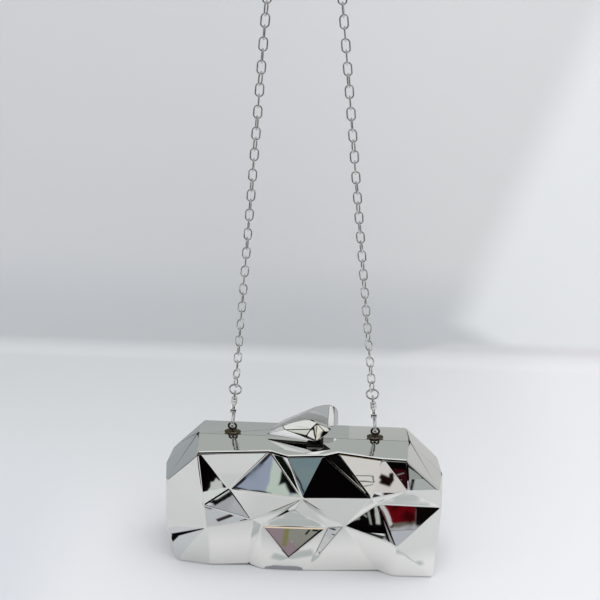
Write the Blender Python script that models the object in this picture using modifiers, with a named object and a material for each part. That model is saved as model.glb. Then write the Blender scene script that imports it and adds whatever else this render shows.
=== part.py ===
"""Faceted metal clutch bag: two hinged half shells, a kiss-lock clasp and a chain strap on snap hooks.

Metres, +Z up. X runs along the bag, the front faces -Y, and the bag stands on Z = 0 with the seam
of its two halves at Y = 0.
"""
import math

import bmesh
import bpy
from mathutils import Euler, Matrix, Vector
from mathutils.geometry import delaunay_2d_cdt

for old in list(bpy.data.objects):
    bpy.data.objects.remove(old, do_unlink=True)

# Body of the bag
HALF_WIDTH = 0.0985
SEAM_HEIGHT = 0.1047
FACE_DEPTH = 0.0280
TOP_EDGE_DROP = 0.0022
WALL = 0.0016
CLEARANCE = 0.0003
OVERRUN = 0.0060
WELD = 0.00002
SHARP_ANGLE = math.radians(50)

# Inner frames, lining and hinge
RIM_THICKNESS = 0.0015
RIM_DEPTH = 0.0050
LINING_THICKNESS = 0.0010
HINGE_AXIS_HEIGHT = 0.0027
KNUCKLE_RADIUS = 0.0020
PIN_RADIUS = 0.0009
RUNNING_CLEARANCE = 0.0003
LEAF_THICKNESS = 0.0012
HINGE_LENGTH = 0.1500
HINGE_END_RADIUS = 0.0015
HINGE_END_LENGTH = 0.0008
KNUCKLE_COUNT = 7
HINGE_SIDES = 16

# Clasp
CLASP_LIFT = 0.0003
CLASP_SCREW_RADIUS = 0.0012
CLASP_SCREW_LENGTH = 0.0055
CLASP_SCREW_HEAD_RADIUS = 0.0024
CLASP_SCREW_HEAD_HEIGHT = 0.0013
GEM_LENGTH = 0.0456
GEM_HEIGHT = 0.0164
GEM_DEPTH = 0.0090
WING_HEIGHT = 0.0218
WING_LEAN_DEPTH = 0.0107
WING_THICKNESS = 0.0030

# Eyelets that carry the strap
EYELET_SPREAD = 0.0493
EYELET_SETBACK = 0.0026
FLANGE_LENGTH = 0.0115
FLANGE_WIDTH = 0.0066
FLANGE_THICKNESS = 0.0013
STEM_RADIUS = 0.0015
STEM_SIDES = 12
NUT_RADIUS = 0.0025
NUT_HEIGHT = 0.0018
EYE_HEIGHT = 0.0052
EYE_RADIUS = 0.00265
EYE_WIRE = 0.00075
EYE_NECK_RADIUS = 0.0009

# Snap hooks
HOOK_WIRE = 0.0011
BOW_RADIUS = 0.0039
HOOK_EYE_HEIGHT = 0.0272
HOOK_EYE_RADIUS = 0.0023
HOOK_EYE_WIRE = 0.0008
COLLAR_RADIUS = 0.0020
COLLAR_BOTTOM = 0.0205
COLLAR_TOP = 0.0246
GATE_PIVOT_HEIGHT = 0.0165
GATE_TIP_HEIGHT = 0.0066
GATE_WIRE = 0.0009
GATE_BARREL_RADIUS = 0.0014
GATE_BARREL_WIDTH = 0.0016
CHEEK_RADIUS = 0.0019
GATE_PIN_RADIUS = 0.0005
GATE_ROOT_RADIUS = 0.0007
GATE_PIN_SIDES = 12
BARREL_SIDES = 16
GATE_PIVOT_BACK_SHARE = 0.86
GATE_ARM_SHARES = (0.05, 0.35, 0.70, 1.00)
BOW_STEP_DEGREES = 20
ARM_HEIGHT_SHARES = (0.45, 0.70, 0.92)
ARM_SWELL_SHARES = (1.0, 1.15, 1.4)
NECK_SHARES = ((0.80, 0.90), (0.42, 0.99))

# Strap
JUMP_RING_RADIUS = 0.0040
JUMP_RING_WIRE = 0.00065
STRAP_LEAN = math.radians(5.58)
LINK_LENGTH = 0.0089
LINK_WIDTH = 0.0056
LINK_WIRE = 0.00050
LINK_BITE = 0.00015
LINK_COUNT = 91
LINK_TURNS = 8
LINK_SIDES = 4
LINK_SWELL_SHARE = 1.1

# The creases of one half, as shares of the half width, the seam height and the face depth.
# T runs along the top edge, B along the bottom edge, L and R stand at the ends, and the rest
# are the peaks and notches of the cut face.
CREASE_SHARES = {
    "T0": (-0.720, 1.0, 0.646), "T1": (-0.223, 1.0, 0.514), "T2": (-0.100, 1.0, 0.654),
    "T3": (0.150, 1.0, 0.582), "T4": (0.240, 1.0, 0.471), "T5": (0.555, 1.0, 0.625),
    "T6": (0.720, 1.0, 0.646), "L0": (-0.960, 0.735, 0.630), "R0": (0.960, 0.735, 0.630),
    "L1": (-0.988, 0.310, 0.680), "R1": (0.988, 0.580, 0.590), "B0": (-0.923, 0.0, 0.686),
    "B1": (-0.682, 0.0, 0.790), "B3": (-0.390, 0.0, 0.732), "B4": (-0.300, 0.0, 0.850),
    "B6": (0.036, 0.0, 0.850), "B7": (0.557, 0.0, 0.754), "B8": (0.672, 0.0, 0.911),
    "B9": (0.960, 0.0, 0.880), "B5": (-0.125, 0.055, 0.875),
    "K0": (-0.680, 0.396, 0.946), "K1": (-0.692, 0.586, 0.905),
    "M0": (-0.510, 0.689, 0.696), "M1": (0.008, 0.671, 0.875), "M2": (0.488, 0.683, 0.821),
    "M3": (0.745, 0.749, 0.768), "N0": (-0.351, 0.464, 0.875), "P0": (0.300, 0.447, 0.893),
    "P1": (0.628, 0.341, 1.000), "S0": (-0.287, 0.385, 0.750), "S1": (-0.050, 0.575, 0.893),
    "S2": (0.189, 0.393, 0.750), "S3": (-0.094, 0.126, 0.911), "U0": (0.533, 0.615, 0.714),
    "U1": (0.684, 0.293, 1.000),
}
OUTLINE = "T0 L0 L1 B0 B1 B3 B4 B6 B7 B8 B9 R1 R0 T6 T5 T4 T3 T2 T1"
CREASES = (
    "T0 K1 K0 B1", "L0 K1", "L0 K0 L1", "B0 K0", "K1 M0 T0", "K1 N0 K0", "M0 N0 M1 M0 T1 M1",
    "T2 M1 T3 M2 T4", "M1 M2 T5 M3 T6", "M3 R0", "M3 M2 U0 M3 R1", "U0 R1 U1 U0 P1 U1",
    "U0 P0 P1", "P0 M2", "M1 P0 S2 M1 S1 S0 M1", "S1 S2 S0 N0", "S0 S3 S2", "K0 B3 N0",
    "B3 S0 B4 S3 B5 B4", "S3 B6 B5", "S2 B6 P0 B7 P1", "B7 U1 B8", "U1 B9",
)

# The back half has the same cut face turned half round, with a straight top edge.
BACK_TOP_DEPTH_SHARE = 0.646
SEAM_TOP_SHARE = 1.035
SEAM_SHOULDER_SHARE = 1.028
SEAM_SIDE_SHARE = 1.012
SEAM_BOTTOM_SHARE = 1.010

# Corners of the clasp pieces, as shares of their length, depth and height. X is measured from the
# middle of the bag, Y forwards from the seam, and Z up from the roof. A corner of the fin has X, Z
# and how far it is rolled back, as a share of the fin's thickness.
GEM_SHARES = (
    (-0.567, 0.089, 0.122), (-0.323, 0.229, 0.714), (0.043, 0.067, 0.998), (0.144, 0.142, 1.012),
    (0.209, 0.362, 0.932), (-0.270, 0.511, 0.594), (0.120, 0.622, 0.746), (0.339, 0.133, 0.812),
    (0.430, 0.244, 0.611), (0.359, 0.556, 0.468), (0.193, 1.000, 0.297), (0.034, 0.956, 0.460),
    (0.055, 0.110, 0.220), (0.307, 0.220, 0.220),
)
GEM_FOOT_SHARES = ((0.05, 0.52), (0.31, 0.52), (0.31, 0.98), (0.05, 0.98))
GEM_FOOT_TOP_SHARES = ((0.08, 0.35), (0.30, 0.35), (0.24, 0.78), (0.09, 0.82))
GEM_FOOT_TOP_HEIGHT_SHARE = 0.42
WING_SHARES = (
    (-0.500, 0.10, 0.0), (-0.465, 0.26, 0.0), (-0.310, 0.46, 0.0), (0.017, 0.774, 0.0),
    (0.171, 0.924, 0.0), (0.300, 0.995, 0.0), (0.375, 1.00, 0.0), (0.360, 0.26, 0.0),
    (0.455, 0.93, 0.30), (0.455, 0.28, 0.30), (0.506, 0.80, 0.85), (0.521, 0.60, 0.90),
    (0.521, 0.30, 0.90),
)
WING_FOOT_SHARES = ((-0.20, 0.22), (0.27, 0.22), (0.27, 0.85), (-0.20, 0.85))
WING_BASE_DEPTH_SHARE = 0.23
WING_FOOT_HEIGHT_SHARE = 0.30
WING_FOOT_TOP_DEPTH_SHARES = (0.1, 0.6)
WING_SPINE_SHARES = ((-0.30, 0.25), (0.26, 0.72), (0.40, 0.62), (0.40, 0.36))
CLASP_SCREW_X_SHARE = 0.18
CLASP_SCREW_Y_SHARE = 0.74

scene_collection = bpy.context.scene.collection
bag = bpy.data.collections.new("clutch_bag")
cutters = bpy.data.collections.new("cutters")
scene_collection.children.link(bag)
scene_collection.children.link(cutters)


def finish_material(name, colour, metallic, roughness):
    """A plain Principled material for one kind of part."""
    material = bpy.data.materials.new(name)
    material.use_nodes = True
    shader = material.node_tree.nodes["Principled BSDF"]
    shader.inputs["Base Color"].default_value = (*colour, 1.0)
    shader.inputs["Metallic"].default_value = metallic
    shader.inputs["Roughness"].default_value = roughness
    material.diffuse_color = (*colour, 1.0)
    return material


MIRROR_CHROME = ((0.86, 0.87, 0.88), 1.0, 0.04)
STRAP_CHROME = ((0.80, 0.81, 0.83), 1.0, 0.10)
INNER_STEEL = ((0.62, 0.62, 0.64), 1.0, 0.30)
LINING_CLOTH = ((0.030, 0.030, 0.034), 0.0, 0.85)


def place(obj, name, finish, parent=None):
    """Names an object, gives it its own material and files it with the parts."""
    obj.name = name
    obj.data.name = name
    obj.data.materials.clear()
    obj.data.materials.append(finish_material(name, *finish))
    for home in list(obj.users_collection):
        home.objects.unlink(obj)
    bag.objects.link(obj)
    if parent is not None:
        obj.parent = parent
    return obj


def as_cutter(obj, name):
    """Files an object with the cutters, shown as wire and never rendered."""
    obj.name = name
    for home in list(obj.users_collection):
        home.objects.unlink(obj)
    cutters.objects.link(obj)
    obj.hide_render = True
    obj.display_type = "WIRE"
    return obj


def mesh_object(name, bm):
    """A new object from a bmesh, which is freed."""
    mesh = bpy.data.meshes.new(name)
    bm.to_mesh(mesh)
    bm.free()
    obj = bpy.data.objects.new(name, mesh)
    scene_collection.objects.link(obj)
    return obj


def box(name, low, high):
    """An axis-aligned box between two corners."""
    low, high = Vector(low), Vector(high)
    bm = bmesh.new()
    bmesh.ops.create_cube(bm, size=1.0)
    bmesh.ops.transform(bm, verts=bm.verts, matrix=Matrix.Diagonal((high - low).to_4d()))
    bmesh.ops.translate(bm, verts=bm.verts, vec=(low + high) / 2)
    return mesh_object(name, bm)


def rod(name, start, end, radius, sides=20, end_radius=None):
    """A cylinder or cone between two points."""
    start, end = Vector(start), Vector(end)
    bm = bmesh.new()
    bmesh.ops.create_cone(bm, cap_ends=True, segments=sides, radius1=radius,
                          radius2=radius if end_radius is None else end_radius,
                          depth=(end - start).length)
    turn = Vector((0, 0, 1)).rotation_difference(end - start).to_matrix().to_4x4()
    bmesh.ops.transform(bm, verts=bm.verts, matrix=Matrix.Translation((start + end) / 2) @ turn)
    return mesh_object(name, bm)


def ring(name, radius, wire, turns=20, sides=6):
    """A torus that stands in the XZ plane, round the Y axis."""
    bpy.ops.mesh.primitive_torus_add(major_radius=radius, minor_radius=wire,
                                     major_segments=turns, minor_segments=sides)
    obj = bpy.context.object
    obj.data.transform(Matrix.Rotation(math.radians(90), 4, "X"))
    return obj


def tube(name, points, radii, sides_resolution=1):
    """A round bar along points, as a closed mesh: a curve whose caps are welded."""
    curve = bpy.data.curves.new(name, "CURVE")
    curve.dimensions = "3D"
    curve.bevel_depth = 1.0
    curve.bevel_resolution = sides_resolution
    curve.use_fill_caps = True
    spline = curve.splines.new("POLY")
    spline.points.add(len(points) - 1)
    for spline_point, point, radius in zip(spline.points, points, radii):
        spline_point.co = (*point, 1.0)
        spline_point.radius = radius
    drawn = bpy.data.objects.new(name, curve)
    scene_collection.objects.link(drawn)
    depsgraph = bpy.context.evaluated_depsgraph_get()
    mesh = bpy.data.meshes.new_from_object(drawn.evaluated_get(depsgraph))
    bpy.data.objects.remove(drawn, do_unlink=True)
    bm = bmesh.new()
    bm.from_mesh(mesh)
    bmesh.ops.remove_doubles(bm, verts=bm.verts, dist=WELD)
    bmesh.ops.recalc_face_normals(bm, faces=bm.faces)
    return mesh_object(name, bm)


def apply_modifiers(obj):
    """Replaces an object's mesh with its evaluated one."""
    depsgraph = bpy.context.evaluated_depsgraph_get()
    mesh = bpy.data.meshes.new_from_object(obj.evaluated_get(depsgraph))
    obj.modifiers.clear()
    obj.data = mesh
    return obj


def combine(obj, other, operation):
    """A live Boolean with another object, which becomes a cutter."""
    if other.name not in cutters.objects:
        as_cutter(other, other.name)
    modifier = obj.modifiers.new(other.name, "BOOLEAN")
    modifier.object = other
    modifier.operation = operation
    modifier.solver = "EXACT"
    return obj


def cut(obj, other):
    return combine(obj, other, "DIFFERENCE")


def join(obj, other):
    return combine(obj, other, "UNION")


def keep_inside(obj, other):
    return combine(obj, other, "INTERSECT")


# The cut face of one half and the side walls that run from it to the seam


def roof_height(depth):
    """Height of the sloping roof at a distance from the seam."""
    return SEAM_HEIGHT - TOP_EDGE_DROP * abs(depth) / (BACK_TOP_DEPTH_SHARE * FACE_DEPTH)


def face_point(name, straight_top):
    """World place of a named crease point on the front half."""
    x_share, z_share, depth_share = CREASE_SHARES[name]
    if name.startswith("T"):
        depth = (BACK_TOP_DEPTH_SHARE if straight_top else depth_share) * FACE_DEPTH
        return Vector((x_share * HALF_WIDTH, -depth, roof_height(depth)))
    return Vector((x_share * HALF_WIDTH, -depth_share * FACE_DEPTH, z_share * SEAM_HEIGHT))


def seam_point(name, point):
    """Where a point of the face's outline meets the seam plane."""
    share = {"T": SEAM_TOP_SHARE, "B": SEAM_BOTTOM_SHARE}.get(name[0], SEAM_SIDE_SHARE)
    if name in ("L0", "R0"):
        share = SEAM_SHOULDER_SHARE
    height = {"T": SEAM_HEIGHT, "B": 0.0}.get(name[0], point.z)
    return Vector((point.x * share, 0.0, height))


def half_surface(name, side):
    """The open outer surface of a half, run past the seam; side is -1 in front and 1 behind."""
    names = list(CREASE_SHARES)
    points = [face_point(n, straight_top=side > 0) for n in names]
    lines = [line.split() for line in (*CREASES, OUTLINE + " " + OUTLINE.split()[0])]
    edges = [(names.index(a), names.index(b)) for line in lines for a, b in zip(line, line[1:])]
    flat = [Vector((p.x, p.z)) for p in points]
    _, _, facets, _, _, _ = delaunay_2d_cdt(flat, edges, [], 1, WELD)
    bm = bmesh.new()
    verts = [bm.verts.new(p) for p in points]
    for facet in facets:
        bm.faces.new([verts[i] for i in facet])
    rim = [e for e in bm.edges if e.is_boundary]
    drawn = bmesh.ops.extrude_edge_only(bm, edges=rim)["geom"]
    for vert in [g for g in drawn if isinstance(g, bmesh.types.BMVert)]:
        outline_name = min(OUTLINE.split(), key=lambda n: (points[names.index(n)] - vert.co).length)
        vert.co = seam_point(outline_name, vert.co)
    rim = [e for e in bm.edges if e.is_boundary]
    past_seam = bmesh.ops.extrude_edge_only(bm, edges=rim)["geom"]
    for vert in [g for g in past_seam if isinstance(g, bmesh.types.BMVert)]:
        vert.co.y += OVERRUN
    bmesh.ops.triangulate(bm, faces=[f for f in bm.faces if len(f.verts) > 3])
    bmesh.ops.recalc_face_normals(bm, faces=bm.faces)
    outward = sum(f.normal.y * f.calc_area() for f in bm.faces)
    if outward > 0:
        bmesh.ops.reverse_faces(bm, faces=bm.faces)
    if side > 0:
        bmesh.ops.rotate(bm, verts=bm.verts, matrix=Matrix.Rotation(math.pi, 3, "Z"))
    return mesh_object(name, bm)


def walled(name, side, inset, thickness):
    """A wall of the half's shape that starts an inset inside its outer surface."""
    obj = half_surface(name, side)
    if inset > 0:
        skin = obj.modifiers.new("inset", "SOLIDIFY")
        skin.thickness = inset
        skin.use_even_offset = True
        skin.use_rim = False
        outer_count = len(obj.data.vertices)
        apply_modifiers(obj)
        bm = bmesh.new()
        bm.from_mesh(obj.data)
        bm.verts.ensure_lookup_table()
        bmesh.ops.delete(bm, geom=bm.verts[:outer_count], context="VERTS")
        bmesh.ops.reverse_faces(bm, faces=bm.faces)
        bm.to_mesh(obj.data)
        bm.free()
    wall = obj.modifiers.new("wall", "SOLIDIFY")
    wall.thickness = thickness
    wall.use_even_offset = True
    return obj


def seam_slab(name, side, near, far):
    """A block that holds what lies between two distances from the seam, on one side of it."""
    reach = HALF_WIDTH + OVERRUN
    ends = sorted((side * near, side * far))
    return box(name, (-reach, ends[0], -OVERRUN), (reach, ends[1], SEAM_HEIGHT + OVERRUN))


HALF_GAP = CLEARANCE / 2
INNER_FACE = WALL + CLEARANCE
HINGE_ROOM = KNUCKLE_RADIUS + 2 * CLEARANCE
HALF_NAMES = {-1: "front", 1: "back"}


def hinge_notch(name, width, height):
    """Room for the hinge barrel along the whole bottom of the seam."""
    reach = HALF_WIDTH + OVERRUN
    return box(name, (-reach, -width, -OVERRUN), (reach, width, height))


# Half shells: stamped, faceted outer walls with a mirror finish


def shell(side):
    word = HALF_NAMES[side]
    obj = walled(word + "_shell", side, 0.0, WALL)
    keep_inside(obj, seam_slab(word + "_shell_slab", side, HALF_GAP, FACE_DEPTH + OVERRUN))
    cut(obj, hinge_notch(word + "_shell_notch", HINGE_ROOM, HINGE_AXIS_HEIGHT + CLEARANCE))
    return place(obj, word + "_shell", MIRROR_CHROME)


# Rims: the frames that stiffen the mouth of each half


def rim(side):
    word = HALF_NAMES[side]
    obj = walled(word + "_rim", side, INNER_FACE, RIM_THICKNESS)
    keep_inside(obj, seam_slab(word + "_rim_slab", side, HALF_GAP, RIM_DEPTH))
    cut(obj, hinge_notch(word + "_rim_notch", RIM_DEPTH + OVERRUN,
                         INNER_FACE + RIM_THICKNESS + CLEARANCE))
    return place(obj, word + "_rim", INNER_STEEL)


# Linings: dark cloth on the inside of each half, behind the rim


def lining(side):
    word = HALF_NAMES[side]
    obj = walled(word + "_lining", side, INNER_FACE, LINING_THICKNESS)
    keep_inside(obj, seam_slab(word + "_lining_slab", side, RIM_DEPTH + CLEARANCE,
                               FACE_DEPTH + OVERRUN))
    return place(obj, word + "_lining", LINING_CLOTH)


# Hinge: knuckles on a leaf along the bottom of each half, round one pin


def knuckles(side):
    word = HALF_NAMES[side]
    axis = Vector((0, 0, HINGE_AXIS_HEIGHT))
    half = HINGE_LENGTH / 2
    along = Vector((half, 0, 0))
    past = Vector((half + OVERRUN, 0, 0))
    obj = rod(word + "_knuckles", axis - along, axis + along, KNUCKLE_RADIUS, HINGE_SIDES)
    leaf_ends = sorted((side * RIM_DEPTH, side * PIN_RADIUS))
    leaf = box(word + "_leaf", (-half, leaf_ends[0], INNER_FACE),
               (half, leaf_ends[1], INNER_FACE + LEAF_THICKNESS))
    join(obj, leaf)
    cut(obj, rod(word + "_bore", axis - past, axis + past, PIN_RADIUS + RUNNING_CLEARANCE,
                 HINGE_SIDES))
    pitch = HINGE_LENGTH / KNUCKLE_COUNT
    reach = KNUCKLE_RADIUS + CLEARANCE
    for i in range(KNUCKLE_COUNT):
        if (i % 2 == 0) == (side > 0):
            continue
        low = -half + i * pitch - CLEARANCE / 2
        high = low + pitch + CLEARANCE
        low -= OVERRUN if i == 0 else 0.0
        high += OVERRUN if i == KNUCKLE_COUNT - 1 else 0.0
        gap = box(word + "_gap_%d" % i, (low, -reach, -OVERRUN),
                  (high, reach, HINGE_AXIS_HEIGHT + reach))
        cut(obj, gap)
    return place(obj, word + "_knuckles", INNER_STEEL)


def hinge_pin():
    axis = Vector((0, 0, HINGE_AXIS_HEIGHT))
    half = Vector((HINGE_LENGTH / 2 + CLEARANCE, 0, 0))
    head = Vector((HINGE_END_LENGTH, 0, 0))
    obj = rod("hinge_pin", axis - half - head, axis + half + head, PIN_RADIUS, HINGE_SIDES)
    for word, way in (("left", -1), ("right", 1)):
        join(obj, rod("pin_head_" + word, axis + way * half, axis + way * (half + head),
                      HINGE_END_RADIUS, HINGE_SIDES))
    return place(obj, "hinge_pin", INNER_STEEL)


# Clasp: a cut-crystal lever on the front half and a tall fin on the back half


def hull(name, points):
    """The convex solid round some points."""
    bm = bmesh.new()
    verts = [bm.verts.new(p) for p in points]
    result = bmesh.ops.convex_hull(bm, input=verts)
    loose = {g for g in result["geom_interior"] + result["geom_unused"]
             if isinstance(g, bmesh.types.BMVert)}
    bmesh.ops.delete(bm, geom=list(loose), context="VERTS")
    bmesh.ops.recalc_face_normals(bm, faces=bm.faces)
    return mesh_object(name, bm)


def on_roof(x, y, height):
    """A point over the roof, lifted by the seating clearance."""
    return Vector((x, y, roof_height(y) + CLASP_LIFT + height))


def clasp_screw(side):
    """A screw that comes up through the roof into the foot of a clasp piece."""
    word = HALF_NAMES[side]
    x = CLASP_SCREW_X_SHARE * GEM_LENGTH
    y = side * CLASP_SCREW_Y_SHARE * GEM_DEPTH
    under_rim = roof_height(y) - INNER_FACE - RIM_THICKNESS - 2 * CLEARANCE
    foot = Vector((x, y, under_rim))
    tip = foot + Vector((0, 0, CLASP_SCREW_LENGTH))
    head = Vector((0, 0, CLASP_SCREW_HEAD_HEIGHT))
    obj = rod(word + "_clasp_screw", foot - head / 2, tip, CLASP_SCREW_RADIUS, STEM_SIDES)
    join(obj, rod(word + "_screw_head", foot - head, foot, CLASP_SCREW_HEAD_RADIUS, STEM_SIDES))
    hole = rod(word + "_screw_hole", foot - head, tip + Vector((0, 0, 2 * CLEARANCE)),
               CLASP_SCREW_RADIUS + CLEARANCE, STEM_SIDES)
    return place(obj, word + "_clasp_screw", INNER_STEEL), as_cutter(hole, hole.name)


def front_clasp(hole):
    points = [on_roof(x * GEM_LENGTH, -y * GEM_DEPTH, z * GEM_HEIGHT) for x, y, z in GEM_SHARES]
    gem = hull("front_clasp", points)
    foot = [on_roof(x * GEM_LENGTH, -y * GEM_DEPTH, 0.0) for x, y in GEM_FOOT_SHARES]
    foot += [on_roof(x * GEM_LENGTH, -y * GEM_DEPTH, GEM_FOOT_TOP_HEIGHT_SHARE * GEM_HEIGHT)
             for x, y in GEM_FOOT_TOP_SHARES]
    join(gem, hull("front_clasp_foot", foot))
    cut(gem, hole)
    return place(gem, "front_clasp", MIRROR_CHROME)


def wing_lean(z_share):
    """How far behind the seam the front of the fin is, at a share of its height."""
    return WING_LEAN_DEPTH * (WING_BASE_DEPTH_SHARE + (1 - WING_BASE_DEPTH_SHARE) * z_share)


def back_clasp(hole):
    points = []
    for x, z, rolled in WING_SHARES:
        y = wing_lean(z) + rolled * WING_THICKNESS
        points.append(on_roof(x * GEM_LENGTH, y, z * WING_HEIGHT))
    for x, z in WING_SPINE_SHARES:
        y = wing_lean(z) + WING_THICKNESS
        points.append(on_roof(x * GEM_LENGTH, y, z * WING_HEIGHT))
    wing = hull("back_clasp", points)
    foot = [on_roof(x * GEM_LENGTH, y * WING_LEAN_DEPTH, 0.0) for x, y in WING_FOOT_SHARES]
    top = WING_FOOT_HEIGHT_SHARE
    foot += [on_roof(x * GEM_LENGTH, wing_lean(top) + y * WING_THICKNESS, top * WING_HEIGHT)
             for x in (WING_FOOT_SHARES[0][0], WING_FOOT_SHARES[1][0])
             for y in WING_FOOT_TOP_DEPTH_SHARES]
    join(wing, hull("back_clasp_foot", foot))
    cut(wing, hole)
    return place(wing, "back_clasp", MIRROR_CHROME)


# Eyelets: a ring on an oval flange, its stem through the roof and a nut inside


NUT_TOP = roof_height(EYELET_SETBACK + NUT_RADIUS) - INNER_FACE - RIM_THICKNESS - CLEARANCE


def eyelet_origin(way):
    return Vector((way * EYELET_SPREAD, EYELET_SETBACK, SEAM_HEIGHT + CLEARANCE))


def eyelet(word, way):
    base = eyelet_origin(way)
    up = Vector((0, 0, 1))
    flange = rod(word + "_eyelet", base, base + up * FLANGE_THICKNESS, FLANGE_WIDTH / 2, sides=24,
                 end_radius=FLANGE_WIDTH / 2 - FLANGE_THICKNESS / 2)
    stretch = Matrix.Diagonal((FLANGE_LENGTH / FLANGE_WIDTH, 1, 1, 1))
    about = Matrix.Translation(base)
    flange.data.transform(about @ stretch @ about.inverted())
    neck_top = base + up * (EYE_HEIGHT - EYE_RADIUS)
    join(flange, rod(word + "_eyelet_neck", base + up * FLANGE_THICKNESS / 2, neck_top,
                     STEM_RADIUS, STEM_SIDES, end_radius=EYE_NECK_RADIUS))
    eye = ring(word + "_eyelet_eye", EYE_RADIUS, EYE_WIRE, turns=20, sides=8)
    eye.name = word + "_eyelet_eye"
    eye.data.transform(Matrix.Translation(base + up * EYE_HEIGHT))
    join(flange, eye)
    stem_end = Vector((base.x, base.y, NUT_TOP - NUT_HEIGHT - CLEARANCE))
    join(flange, rod(word + "_eyelet_stem", stem_end, base + up * FLANGE_THICKNESS / 2,
                     STEM_RADIUS, STEM_SIDES))
    hole = rod(word + "_stem_hole", stem_end, base, STEM_RADIUS + CLEARANCE, STEM_SIDES)
    return place(flange, word + "_eyelet", STRAP_CHROME), as_cutter(hole, hole.name)


def eyelet_nut(word, way):
    top = Vector((*eyelet_origin(way).xy, NUT_TOP))
    drop = Vector((0, 0, NUT_HEIGHT))
    nut = rod(word + "_eyelet_nut", top - drop, top, NUT_RADIUS, sides=6)
    longer = rod(word + "_nut_hole", top - drop * 2, top + drop, STEM_RADIUS + CLEARANCE,
                 STEM_SIDES)
    cut(nut, longer)
    return place(nut, word + "_eyelet_nut", INNER_STEEL)


# Snap hooks, hung in the eyelets and drawn up by the strap


def strand_frame(word, way):
    """An empty at the eyelet's ring, with its Z axis along the strand."""
    frame = bpy.data.objects.new(word + "_strand", None)
    cutters.objects.link(frame)
    frame.location = eyelet_origin(way) + Vector((0, 0, EYE_HEIGHT))
    frame.rotation_euler = Euler((0, -way * STRAP_LEAN, 0))
    return frame


BOW_BOTTOM = EYE_RADIUS - EYE_WIRE - HOOK_WIRE - CLEARANCE
BOW_CENTRE = BOW_BOTTOM + BOW_RADIUS
BOW_TIP_HEIGHT = GATE_TIP_HEIGHT - 2 * CLEARANCE
GATE_PIVOT_Y = -GATE_PIVOT_BACK_SHARE * BOW_RADIUS
SLOT_HALF = GATE_BARREL_WIDTH / 2 + CLEARANCE


def hook(word, frame):
    arc = [Vector((0, BOW_RADIUS * math.sin(a), BOW_CENTRE - BOW_RADIUS * math.cos(a)))
           for a in (math.radians(d) for d in range(-90, 91, BOW_STEP_DEGREES))]
    tip = [Vector((0, -BOW_RADIUS, BOW_TIP_HEIGHT))]
    arm = [Vector((0, BOW_RADIUS, GATE_PIVOT_HEIGHT * s)) for s in ARM_HEIGHT_SHARES]
    neck = [Vector((0, BOW_RADIUS * y, COLLAR_BOTTOM * z)) for y, z in NECK_SHARES]
    points = tip + arc + arm + neck + [Vector((0, 0, COLLAR_TOP))]
    radii = [HOOK_WIRE] * (len(tip) + len(arc))
    radii += [HOOK_WIRE * s for s in ARM_SWELL_SHARES]
    radii += [CHEEK_RADIUS] * len(neck) + [COLLAR_RADIUS]
    body = tube(word + "_hook", points, radii)
    pivot = Vector((0, GATE_PIVOT_Y, GATE_PIVOT_HEIGHT))
    shoulder = tube(word + "_hook_shoulder",
                    [pivot - Vector((0, 0, GATE_BARREL_RADIUS)), pivot,
                     Vector((0, GATE_PIVOT_Y / 2, (GATE_PIVOT_HEIGHT + COLLAR_BOTTOM) / 2)),
                     Vector((0, 0, COLLAR_TOP - COLLAR_RADIUS))],
                    [CHEEK_RADIUS, CHEEK_RADIUS, CHEEK_RADIUS, COLLAR_RADIUS])
    join(body, shoulder)
    eye = ring(word + "_hook_eye", HOOK_EYE_RADIUS, HOOK_EYE_WIRE, turns=18, sides=8)
    eye.name = word + "_hook_eye"
    eye.data.transform(Matrix.Rotation(math.radians(90), 4, "Z"))
    eye.data.transform(Matrix.Translation((0, 0, HOOK_EYE_HEIGHT)))
    join(body, eye)
    across = Vector((SLOT_HALF, 0, 0))
    cut(body, rod(word + "_hook_slot", pivot - across, pivot + across,
                  CHEEK_RADIUS + 2 * CLEARANCE, BARREL_SIDES))
    through = Vector((CHEEK_RADIUS * 2, 0, 0))
    cut(body, rod(word + "_hook_pin_hole", pivot - through, pivot + through,
                  GATE_PIN_RADIUS + CLEARANCE / 2, GATE_PIN_SIDES))
    for cutter in (m.object for m in body.modifiers):
        cutter.parent = frame
    return place(body, word + "_hook", STRAP_CHROME, frame)


def gate(word, frame):
    pivot = Vector((0, GATE_PIVOT_Y, GATE_PIVOT_HEIGHT))
    across = Vector((GATE_BARREL_WIDTH / 2, 0, 0))
    obj = rod(word + "_gate", -across, across, GATE_BARREL_RADIUS, BARREL_SIDES)
    tip = Vector((0, -BOW_RADIUS, GATE_TIP_HEIGHT)) - pivot
    arm = tube(word + "_gate_arm", [tip * s for s in GATE_ARM_SHARES],
               [GATE_ROOT_RADIUS, GATE_WIRE, GATE_WIRE, GATE_WIRE])
    join(obj, arm)
    through = across * 2
    cut(obj, rod(word + "_gate_bore", -through, through, GATE_PIN_RADIUS + CLEARANCE,
                 GATE_PIN_SIDES))
    for cutter in (m.object for m in obj.modifiers):
        cutter.parent = obj
    obj.location = pivot
    return place(obj, word + "_gate", STRAP_CHROME, frame)


def gate_pin(word, frame):
    pivot = Vector((0, GATE_PIVOT_Y, GATE_PIVOT_HEIGHT))
    across = Vector((CHEEK_RADIUS, 0, 0))
    obj = rod(word + "_gate_pin", pivot - across, pivot + across, GATE_PIN_RADIUS,
              GATE_PIN_SIDES)
    return place(obj, word + "_gate_pin", INNER_STEEL, frame)


# Jump rings and the chain between them

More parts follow.
